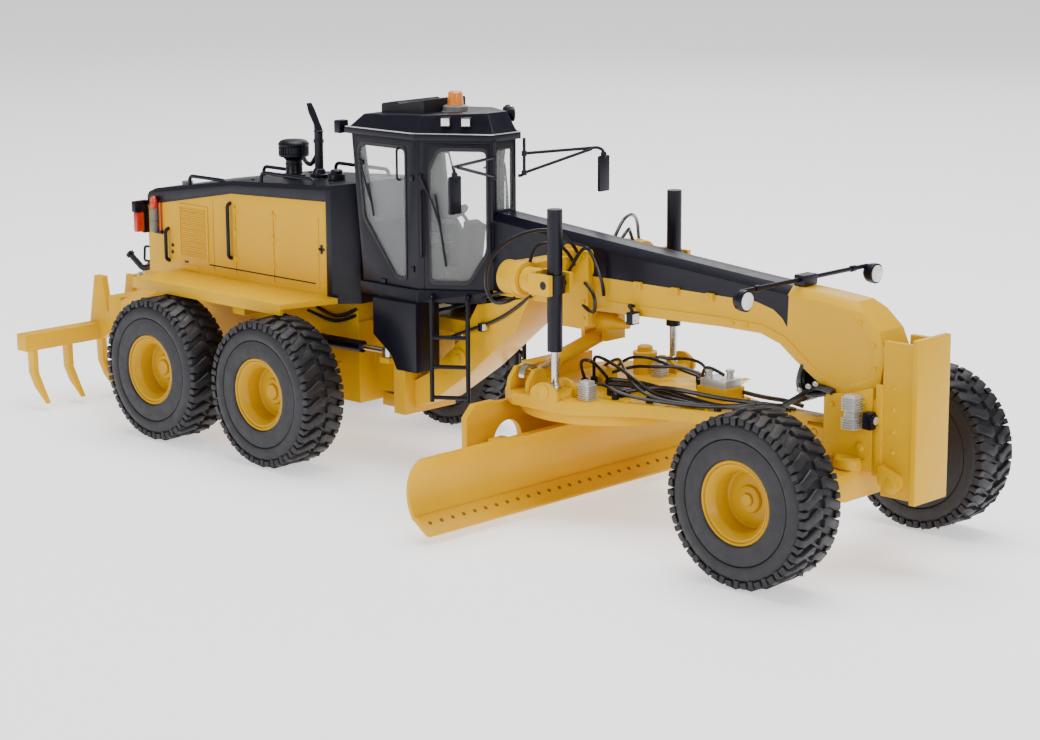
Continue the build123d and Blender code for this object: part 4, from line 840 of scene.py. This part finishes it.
def make_cab_trim():
    """Window seals, wipers, handles, hinges and lamps of the cab."""
    seals = [window_seal(door_window, lambda a, b, c: at(*on_door(a, b, c))),
             window_seal(quarter_window, lambda a, b, c: at(a, -cab_side - c, b))]
    ends = [window_seal(front_window, lambda a, b, c: at(-87.4 + c, a, b), 0.35, 0.7),
            window_seal(rear_window, lambda a, b, c: at(rear_wall_x(b) - c, a, b))]
    piece("window_seals", joined([both(joined(seals))] + ends), rubber_black, "front_unit")

    wiper_foot = (0.7, 23.6)
    arm = [on_door(*wiper_foot, 0.6), on_door(3.4, 18, 0.6), on_door(4.9, 13.2, 0.5)]
    quarter_arm = [(-116.9, -12.9, 64.6), (-114.6, -12.9, 58.4), (-113.4, -12.8, 55.6)]
    wipers = [tube(arm, 0.24, black, fillet=1),
              tube([on_door(3.9, 20, 0.35), on_door(6, 5, 0.35)], 0.26, black),
              tube(quarter_arm, 0.22, black, fillet=1),
              tube([(-114.8, -12.7, 60.4), (-113.2, -12.7, 53.6)], 0.26, black),
              button(on_door(*wiper_foot, 0.1), door_out, 0.55, 0.6),
              button((-116.9, -cab_side, 64.6), OUT, 0.55, 0.6)]
    grips = [[(-105.5, y, z) for y, z in ((-12.3, 68.4), (-13.2, 68.4), (-13.2, 61.9), (-12.3, 61.9))]]
    for run, high, low, root, out in ((1, 20.5, 7, -0.1, 0.9), (15.3, 14, 6, -0.2, 0.7)):
        corners = ((high, root), (high, out), (low, out), (low, root))
        grips.append([on_door(run, up, away) for up, away in corners])
    latches = [block((-111.6, -12.75, 39.6), (-110, -12.3, 40.6), 0.1)]
    latches += [block((-102.3, -12.7, z), (-101.4, -12.3, z + 1.2), 0.1) for z in (43, 62)]
    fittings = joined(wipers + [bars(grips, 0.25, 0.6, 10)] + latches)
    piece("wipers_and_grips", both(fittings), black, "front_unit")

    steering = [(0.35, 0), (0.35, 3.5), (1.9, 3.9), (1.9, 4.25), (0, 4.3)]
    seats = [block((-112.3, -3.3, 47.1), (-105.7, 3.3, 48.6), 0.7),
             turned(steering, (-97.3, 0, 51.8), (-0.75, 0, 0.66), 24)]
    seats += [block((-111, y - 0.5, 50.6), (-106.6, y + 0.5, 51.4), 0.3) for y in (-4.1, 4.1)]
    seats += [block((-111.3, y - 0.3, 46.9), (-110.3, y + 0.3, 50.9), 0.1) for y in (-4.1, 4.1)]
    piece("seat_and_wheel", joined(seats), grey_cloth, "front_unit")
    make_roof_gear()
    make_mirrors()
    make_ladders()


def make_roof_gear():
    """Roof unit, beacon and work lamps."""
    lid = [(-117.5, 73), (-117.5, 76.4), (-112.5, 77.2), (-112, 76.6), (-104.6, 77.9), (-104.6, 73)]
    slot = block((-110.9, -4.6, 76.6), (-110.4, 4.6, 76.95), 0.08)
    unit = [prism(lid, -6.2, 6.2, 0.4), row_of(slot, 6, (1, 0, 0.176), plastic)]
    beacon = (-101.5, 0, 0)
    foot = [(2.9, 74.9), (2.9, 75.3), (2.6, 75.5), (2.6, 76.4), (2.2, 76.6), (1.6, 76.7)]
    dome = turned([(1.7, 76.5), (1.7, 76.8), (1.5, 79.2), (1.25, 79.45), (0, 79.55)], beacon, UP, 32)
    boxes, lenses = [], []
    # Square lamps over the right door, round ones over the left.
    for x, y in ((-95.3, 9), (-91.8, 6.6)):
        box_form, lens_form = lamp_parts((x, -y, 74.3), -55)
        boxes.append(box_form)
        lenses.append(lens_form)
        boxes.append(tube([(x, -y, 73.6), (x - 0.9, -y + 1.4, 72.6)], 0.3, black))
        way = Vector((0.574, 0.819, 0))
        shell = [(0, -0.9), (1, -0.8), (1.5, -0.1), (1.55, 0.5), (1.4, 0.6)]
        boxes.append(turned(shell, (x, y, 74.9), way, 24))
        lenses.append(turned([(1.4, 0.45), (1.25, 0.7), (0, 0.85)], (x, y, 74.9), way, 24))
        boxes.append(tube([(x, y, 74.6), (x - 0.7, y - 1, 72.2)], 0.35, black))
    for side in (RIGHT, LEFT):
        box_form, lens_form = lamp_parts((-123.2, side * 12.4, 71.6), 0, 1.3, 1.35, 0.9, back=True)
        boxes.append(box_form)
        lenses.append(lens_form)
        boxes.append(block((-123, side * 12.2 - 0.5, 70.5), (-119.4, side * 12.2 + 0.5, 71.2), 0.1))
    piece("roof_unit", joined(unit), plastic, "front_unit", ["roof_gear"])
    piece("roof_lamp_boxes", joined(boxes), black, "front_unit")
    piece("roof_lamp_lenses", joined(lenses), white_lens, "front_unit")
    piece("beacon_foot", turned(foot, beacon, UP, 36), grey_cap, "front_unit")
    piece("beacon_dome", dome, amber_lens, "front_unit")
    rim = [(-120.9, 13.4), (-100.8, 13.4), (-86.6, 4), (-86.6, -4), (-100.8, -13.4), (-120.9, -13.4)]
    inner = [(-120.4, 12.9), (-101, 12.9), (-87.1, 3.8), (-87.1, -3.8), (-101, -12.9), (-120.4, -12.9)]
    piece("roof_edge", ring_plate(rim, inner, at, 71.75, 71.95), silver, "front_unit")


def make_mirrors():
    """Two mirrors on bent arms in front of the cab."""
    frames, mirrors = [], []
    for side in (RIGHT, LEFT):
        y, post = side * 21.9, side * 4.4
        frames.append(block((-80.2, y - 1.6, 58.3), (-79.4, y + 1.6, 65.9), 0.38))
        arms = [[(-86, post, 67.4), (-80.9, side * 21.3, 67.5), (-79.9, y, 67), (-79.8, y, 64.8)],
                [(-86, post, 63.4), (-81.2, side * 19.7, 67.3)],
                [(-87, side * 3.6, 62.8), (-86, post, 62.8), (-86, post, 70.6)]]
        frames.append(bars(arms, 0.33, 0.9))
        frames.append(turned([(0.5, -0.6), (0.6, -0.4), (0.6, 0.4), (0.5, 0.6)], (-79.8, y, 66), UP, 16))
        for z in (67.4, 63.4):
            frames.append(turned([(0.55, -0.5), (0.55, 0.5)], (-86, post, z), UP, 16))
        mirrors.append(block((-80.28, y - 1.35, 58.7), (-80.1, y + 1.35, 65.5), 0.05))
    piece("mirror_frames", joined(frames), black, "front_unit", ["mirrors"])
    piece("mirror_faces", joined(mirrors), steel, "front_unit")


def make_ladders():
    """Ladders parallel to the door sills, with round rungs."""
    first, last, out = 3.2, 10.8, 2.6
    forms = []
    for run in (first, last):
        rail = [on_door(run, -23.1, out), on_door(run, -1.1, out), on_door(run, -1.1, 0.7)]
        forms.append(tube(rail, 0.5, black, fillet=1))
    for rise in (17.3, 23.8, 30):
        rung = [on_door(first, rise - cab_sill, out), on_door(last, rise - cab_sill, out)]
        forms.append(tube(rung, 0.45, black))
    piece("ladder_rails", both(joined(forms)), black, "front_unit", ["ladders"])


# Front frame

def make_frame_trim():
    """Light bar, tabs, work lamps and fasteners of the front frame."""
    bar = [(-9.8, -19.6, 49.3), (-9.8, -19.6, 51), (-9.8, 19.6, 51), (-9.8, 19.6, 49.3)]
    bar_forms = [tube(bar, 0.45, black, fillet=0.8), block((-11.1, -2, 49.8), (-8.5, 2, 51.9), 0.3)]
    shell = [(0, -1.3), (1.1, -1.2), (1.75, -0.5), (1.95, 0.4), (1.95, 1.3), (1.75, 1.4), (1.65, 1), (0, 0.9)]
    lenses = []
    for side in (RIGHT, LEFT):
        place = (-9.2, side * 19.6, 49.6)
        bar_forms.append(turned(shell, place, (1, 0, 0), 32))
        lenses.append(turned([(1.7, 0.95), (1.6, 1.5), (1, 1.75), (0, 1.8)], place, (1, 0, 0), 32))
        bar_forms.append(turned([(0.62, -0.6), (0.62, 0.6)], (-9.8, side * 14.5, 51), (0, 1, 0), 16))
    piece("light_bar_frame", joined(bar_forms), black, "front_unit", ["light_bar"])

    tab_places = (-47.6, -38.2, -29.5)
    tabs = [block((x - 0.9, -4.3, 44.9), (x + 0.9, -3.4, 46.3), 0.12) for x in tab_places]
    tabs += [button((x, -4.3, 45.6), OUT, 0.35) for x in tab_places]
    tabs += [bolt((x, -5.2, z), OUT) for x in (-68.4, -60.6) for z in (37.6, 41, 50)]
    tabs += [bolt((x, -3.8, z), OUT, 0.42)
             for x, z in ((-24, 41.2), (-20.5, 41.2), (5.6, 45.2), (8.6, 41.4), (8.9, 37.2))]
    tabs += [bolt((x, -4.8, z), OUT, 0.45) for x, z in ((0.4, 29.6), (0.4, 20), (7.8, 20), (7.6, 31))]
    pin = [(2.2, -0.1), (2.2, 0.35), (1.9, 0.5), (1.1, 0.5), (1, 0.8), (0, 0.85)]
    tabs.append(turned(pin, (-96.5, -4.6, 24.2), OUT, 28))
    piece("frame_fasteners", both(joined(tabs)), enamel, "front_unit")

    # Drums of the saddle: a patch on the frame, six nuts on the end and a rib round the other.
    drum_y, drum_z, nut_ring = -17.7, 46.7, 2.2
    patch = prism(rounded([(-67.2, 46), (-59.2, 46), (-59.2, 51.4), (-67.2, 51.8)], 1.2), -4.05, -3.7, 0.1)
    nuts = [bolt((-69.4, drum_y + nut_ring * math.cos(a), drum_z + nut_ring * math.sin(a)), (-1, 0, 0), 0.4)
            for a in (k * math.pi / 3 for k in range(6))]
    rib = turned([(3.35, 0), (3.5, 0.15), (3.5, 0.75), (3.35, 0.9)], (-66.9, drum_y, drum_z), (1, 0, 0), 40)
    piece("saddle_fasteners", both(joined([patch] + nuts + [rib])), enamel, "front_unit")

    box_form, lens_form = lamp_parts((-88.4, -5.7, 32.2), 0, 0.9, 0.9, 0.6)
    second_box, second_lens = lamp_parts((-47.4, -5.6, 39.4), 0, 1.15, 1.25, 0.8)
    lenses.append(both(joined([lens_form, second_lens])))
    hanger = bars([[(-48.6, -4, 41.4), (-48.6, -5.6, 41.9), (-47.6, -5.6, 41), (-47.6, -5.6, 40.2)]], 0.35)
    piece("work_lamp_boxes", both(joined([box_form, second_box, hanger])), black, "front_unit")
    piece("work_lamp_lenses", joined(lenses), white_lens, "front_unit")
    make_saddle_hoses()
    make_nose_fittings()


# Runs of the moulded hoses, as points that each hose is bent along.
saddle_loops = (
    ((-62.4, -4.6, 50), (-62.8, -7.6, 54.6), (-65, -13.6, 56.2), (-68.4, -19.6, 54), (-70.6, -22.6, 49.6),
     (-70.4, -23, 44), (-68, -22, 41.2), (-66.6, -18.6, 42.8)),
    ((-65.6, -15.4, 49.6), (-65.8, -14.2, 52.6), (-63.4, -11.4, 53.4), (-62.6, -8, 51.6), (-63.2, -5, 48)),
    ((-66.3, -6, 42.5), (-63.2, -6.6, 47.4), (-59.4, -6.2, 52.8), (-57.6, -5.6, 50.2), (-55.6, -5.2, 45.4),
     (-56.4, -4, 42.6)),
    ((-61, -5, 40.2), (-56.6, -6.4, 38.2), (-57, -5.8, 43.4), (-60.2, -5.4, 44.8)))
flank_runs = (
    ((-104, -8.4, 33.4), (-100, -6.4, 34.4), (-92, -5.2, 36.6), (-84, -4.3, 40.2), (-74, -4.2, 41.6),
     (-69.8, -4.4, 42)),
    ((-98, -6, 28.6), (-92.6, -5.3, 31), (-86, -5.2, 33.4), (-80.6, -5, 36.4), (-76, -4.3, 40)))
drawbar_runs = (
    ((-60.6, -4.9, 25.3), (-60, -7, 28.4), (-57.6, -8.8, 30.4), (-56, -6.6, 29.4), (-56.1, -2.8, 25.4)),
    ((-60.2, -2.6, 25.3), (-59.6, -3.4, 28.6), (-58.4, -4.2, 30.4), (-52, -5.4, 29.4), (-44.6, -7, 27.2),
     (-38.6, -8.6, 25.6), (-30.4, -6.4, 25)),
    ((-62.4, 2.4, 26.2), (-57.4, 1.4, 29.6), (-51.4, -3.6, 28.6), (-43.4, -9.6, 26.6), (-37, -9.4, 25.2),
     (-28.6, -6.2, 24.9), (-20, -3.4, 26), (-12.6, -2.2, 26.9)),
    ((-61, 4.2, 25.2), (-57.2, 2.6, 28.8), (-52.6, 4.4, 29.6), (-51.4, 9.2, 27.4), (-45, 12, 25.3)),
    ((-53, -12.8, 26.6), (-50.2, -11.4, 27), (-46.6, -12.2, 26.2), (-41.6, -11, 25.2), (-34.4, -8.8, 24.9),
     (-25, -5.6, 24.9), (-18.4, -3.4, 26.4)),
    ((-38.6, 4.9, 26.8), (-36.8, 3.2, 29.6), (-34.6, 3, 30.2), (-32.4, 4.4, 28.6)),
    ((-40.2, 8.2, 26), (-42.4, 11.6, 27.6), (-48.2, 13.4, 28.4), (-55.4, 13.2, 27.2), (-60.4, 10.8, 27.6)),
    ((-37.2, 5.4, 27.2), (-42.2, 4.6, 29), (-48.6, 2.6, 28.2), (-54.6, 2.6, 27.6), (-58.4, 1, 26)))
bundle_runs = (
    ((-56.1, -2.4, 25.4), (-51.6, -1.2, 25.6), (-44.5, -1.2, 25.4), (-35, -4, 25.4), (-27, -5.6, 25.2),
     (-20.4, -4, 25.4), (-15, -3.2, 26.6), (-11.4, -2.9, 26.3)),
    ((-54.6, -4.2, 25), (-48, -3.2, 25.4), (-40, -3.6, 25.2), (-32, -6.2, 25.2), (-24, -5.4, 25),
     (-16, -2.4, 26.4), (-11.6, -1.6, 26)),
    ((-46.4, -8.4, 25.4), (-41, -6.4, 26.8), (-34.4, -6.4, 27.2), (-27, -4.4, 26.4), (-21, -2.4, 26.2),
     (-14, -0.6, 26.2), (-11.6, 0, 25.8)),
    ((-39.4, 7.4, 25.6), (-33, 8.6, 25), (-27, 6, 25.4), (-20.6, 3.6, 26), (-14.6, 2.2, 26.6),
     (-11.4, 1.9, 26.2)))
hitch_runs = (
    ((-124.2, -7.8, 31.8), (-126.6, -9, 30.2), (-131.4, -9.2, 29.4), (-137, -8, 30.6)),
    ((-124.4, -7.8, 30.4), (-127.6, -8.7, 28.8), (-133.2, -8.7, 28.2), (-140, -8, 29.4)))


def make_saddle_hoses():
    """Moulded hoses: loops round the saddle's drums, a bent pipe over the frame and lines along its flank."""
    piece("saddle_hoses", both(hoses(saddle_loops, 0.36)), hose_black, "front_unit")
    piece("frame_hoses", both(hoses(flank_runs, 0.38)), hose_black, "front_unit")


def make_nose_fittings():
    """Cooler column, camera, fan of hoses and fasteners at the nose."""
    column = [ribbed_block((4.3, -7.4, low), (7.4, -4.7, high)) for low, high in ((25.9, 28.9), (29.3, 32.4))]
    column.append(block((4.8, -7, 28.7), (6.9, -4.7, 29.5), 0.1))
    piece("nose_cooler", joined(column), silver, "front_unit")
    eye = (10.3, -5.7, 28.2)
    camera_box = [block((8.4, -6.6, 26.4), (10.4, -4.7, 29.6), 0.25),
                  turned([(1.05, 0), (1.05, 0.5), (0.85, 0.6)], eye, (1, 0, 0), 24)]
    piece("nose_camera", joined(camera_box), black, "front_unit")
    glass_eye = turned([(0.8, 0.4), (0.75, 0.65), (0, 0.8)], eye, (1, 0, 0), 24)
    piece("nose_camera_lens", glass_eye, silver, "front_unit")
    fan = []
    for k in range(9):
        y = -5 + 1.25 * k
        fan.append([(0.4, y, 31.7), (-2.2, y, 32.4), (-4.6, y - 0.2, 31.6), (-7.2, y - 0.5, 29.6),
                    (-10.2, y * 0.9 - 0.8, 27.9)])
        fan.append([(-1.2, y + 0.5, 31.2), (-4, y + 0.5, 30.4), (-7, y + 0.2, 30.6), (-8.2, y * 0.8, 33),
                    (-7.4, y * 0.7, 35.6)])
    piece("nose_hoses", hoses(fan, 0.5), hose_black, "front_unit")
    caps = [turned([(0.45, -0.2), (0.45, 0.4), (0.3, 0.6), (0, 0.6)], place, (-0.3, -0.8, 0.5), 12)
            for place in ((-4.4, -5.6, 32.2), (-6.4, -5.7, 31.2), (-3, -5.3, 32.8))]
    piece("nose_hose_caps", joined(caps), silver, "front_unit")

    rivet = [(0.42, -0.1), (0.42, 0.1), (0.25, 0.3), (0, 0.35)]
    bumps = [turned(rivet, (13.9, -4.6, z), OUT, 12) for z in (34.4, 30.4, 26.4, 22.6)]
    bumps.append(turned([(0.8, -0.2), (0.8, 0.4), (0.5, 0.6), (0, 0.6)], (7, -4.8, 22.6), OUT, 24))
    boss = [(2.4, 18.3), (2.8, 18.6), (2.8, 20.2), (2.4, 20.6), (0, 20.7)]
    bumps.append(turned(boss, (4.6, -4.9, 0), UP, 32))
    bumps.append(block((10.2, -5.1, 18), (11.7, -4.4, 34.8), 0.25))
    bumps.append(turned([(1.2, -0.7), (1.7, -0.4), (1.7, 0.4), (1.2, 0.7)], (14.4, -5.2, 16.9), OUT, 28))
    lug = rounded([(11.4, 16.4), (16.6, 16.4), (16.6, 18.6), (11.4, 20.4)], 0.9)
    bumps.append(prism(lug, -5.8, -4.5, 0.2))
    piece("nose_fasteners", both(joined(bumps)), enamel, "front_unit")


# Drawbar, circle and blade

deck = 24.2


def make_drawbar_trim():
    """Coolers, valves, fittings and hoses on the drawbar."""
    coolers = [ribbed_block((-52.2, -16.4, deck - 0.1), (-49.2, -13.8, 28)),
               ribbed_block((-55.6, 9.4, deck - 0.1), (-53, 12, 27.6)),
               block((-36.6, 2, 26.3), (-30.2, 7, 28), 0.2)]
    for x, y in ((-35.4, 3.4), (-31.8, 5.4)):
        coolers.append(turned([(0.7, 0), (0.7, 1.2), (0.9, 1.3), (0.9, 1.8), (0, 1.9)], (x, y, 27.9), UP, 16))
    piece("drawbar_coolers", joined(coolers), silver, "drawbar_unit")
    valve_places = ((-60.6, -4.9), (-60.2, -2.6), (-56.1, -2.8), (-47, -11), (-40, -9), (-26, -5.4),
                    (-22.4, -4.2), (-45, 12))
    profile = [(0.75, -0.1), (0.75, 1.1), (0.5, 1.3), (0, 1.3)]
    valves = [turned(profile, (x, y, deck), UP, 16) for x, y in valve_places]
    valves += [block((-50.6, -9.6, deck - 0.1), (-46.8, -6.6, 25.6), 0.2),
               block((-41.4, 6.6, deck - 0.1), (-39, 9.6, 26.2), 0.2)]
    piece("drawbar_valves", joined(valves), black, "drawbar_unit")
    piece("drawbar_hoses", hoses(drawbar_runs, 0.34), hose_black, "drawbar_unit")
    piece("drawbar_bundle", hoses(bundle_runs, 0.46), hose_black, "drawbar_unit")

    stud_places = ((-54, 18.6), (-64.6, 18.6), (-69.6, 15.6), (-43, 12.4), (-36, 9.6), (-28, 6.2))
    studs = [bolt((x, side * y, deck), UP, 0.4) for side in (RIGHT, LEFT) for x, y in stud_places]
    cheek = rounded([(-60.4, 24), (-53.4, 24), (-53.4, 26), (-55.6, 27.6), (-58, 27.6), (-60.4, 26)], 1.4)
    pin = [(1.5, -0.1), (1.5, 0.4), (1, 0.6), (0, 0.6)]
    for side in (RIGHT, LEFT):
        for y in (-3.3, 2.5):
            studs.append(prism(cheek, side * 17.7 + y, side * 17.7 + y + 0.8, 0.12))
        studs.append(turned(pin, (-56.9, side * 20.9, 25.8), (0, side, 0), 24))
    motor = [(2.5, 27.9), (2.5, 28.6), (1.6, 28.8), (1.6, 29.6), (1.2, 29.9), (0, 29.9)]
    studs.append(turned(motor, (-59, 11.5, 0), UP, 32))
    piece("drawbar_studs", joined(studs), enamel, "drawbar_unit")


def make_blade_trim():
    """Bolt row of the cutting edge, painted dark brown as the shade in its recessed holes."""
    seed = button((-62.3, -46.6, 3.62), (0.593, 0, 0.805), 0.42, 0.2)
    piece("blade_bolts", row_of(seed, 32, (0, 3, 0), bolt_hole_shade), bolt_hole_shade, body_of["blade"])


def make_rear_trim():
    """Hoses beside the hitch and studs of the ripper arms and the walkways."""
    piece("hitch_hoses", both(hoses(hitch_runs, 0.42)), hose_black, "rear_unit")
    studs = [bolt((x, -25.6, 33.4), OUT, 0.3) for x in (-174, -160, -146, -132)]
    studs += [bolt((x, -8, z), OUT, 0.4) for x in (-141, -130) for z in (15, 19)]
    piece("chassis_studs", both(joined(studs)), enamel, "rear_unit")
    pin = turned([(1.25, -0.1), (1.25, 0.25), (0.8, 0.4), (0, 0.4)], (-205.5, -12.9, 19), OUT, 20)
    piece("ripper_pins", both(pin), enamel, body_of["ripper"])


def make_floor():
    """A plain pale floor, which glows a little so that shadows stay soft."""
    material, _, shader = new_material("pale_floor")
    set_inputs(shader, {"Base Color": (0.9, 0.9, 0.92, 1), "Roughness": 0.6,
                        "Emission Color": (0.97, 0.97, 1, 1), "Emission Strength": 0.8})
    form = bmesh.new()
    bmesh.ops.create_grid(form, x_segments=1, y_segments=1, size=floor_size / 2)
    mesh = bpy.data.meshes.new("floor")
    form.to_mesh(mesh)
    form.free()
    mesh.materials.append(material)
    floor = bpy.data.objects.new("floor", mesh)
    bpy.context.collection.objects.link(floor)


make_camera()
make_studio()
make_floor()
make_wheels()
make_castings()
make_engine_trim()
make_cab_trim()
make_frame_trim()
make_drawbar_trim()
make_blade_trim()
make_rear_trim()
paint_plain_nodes()
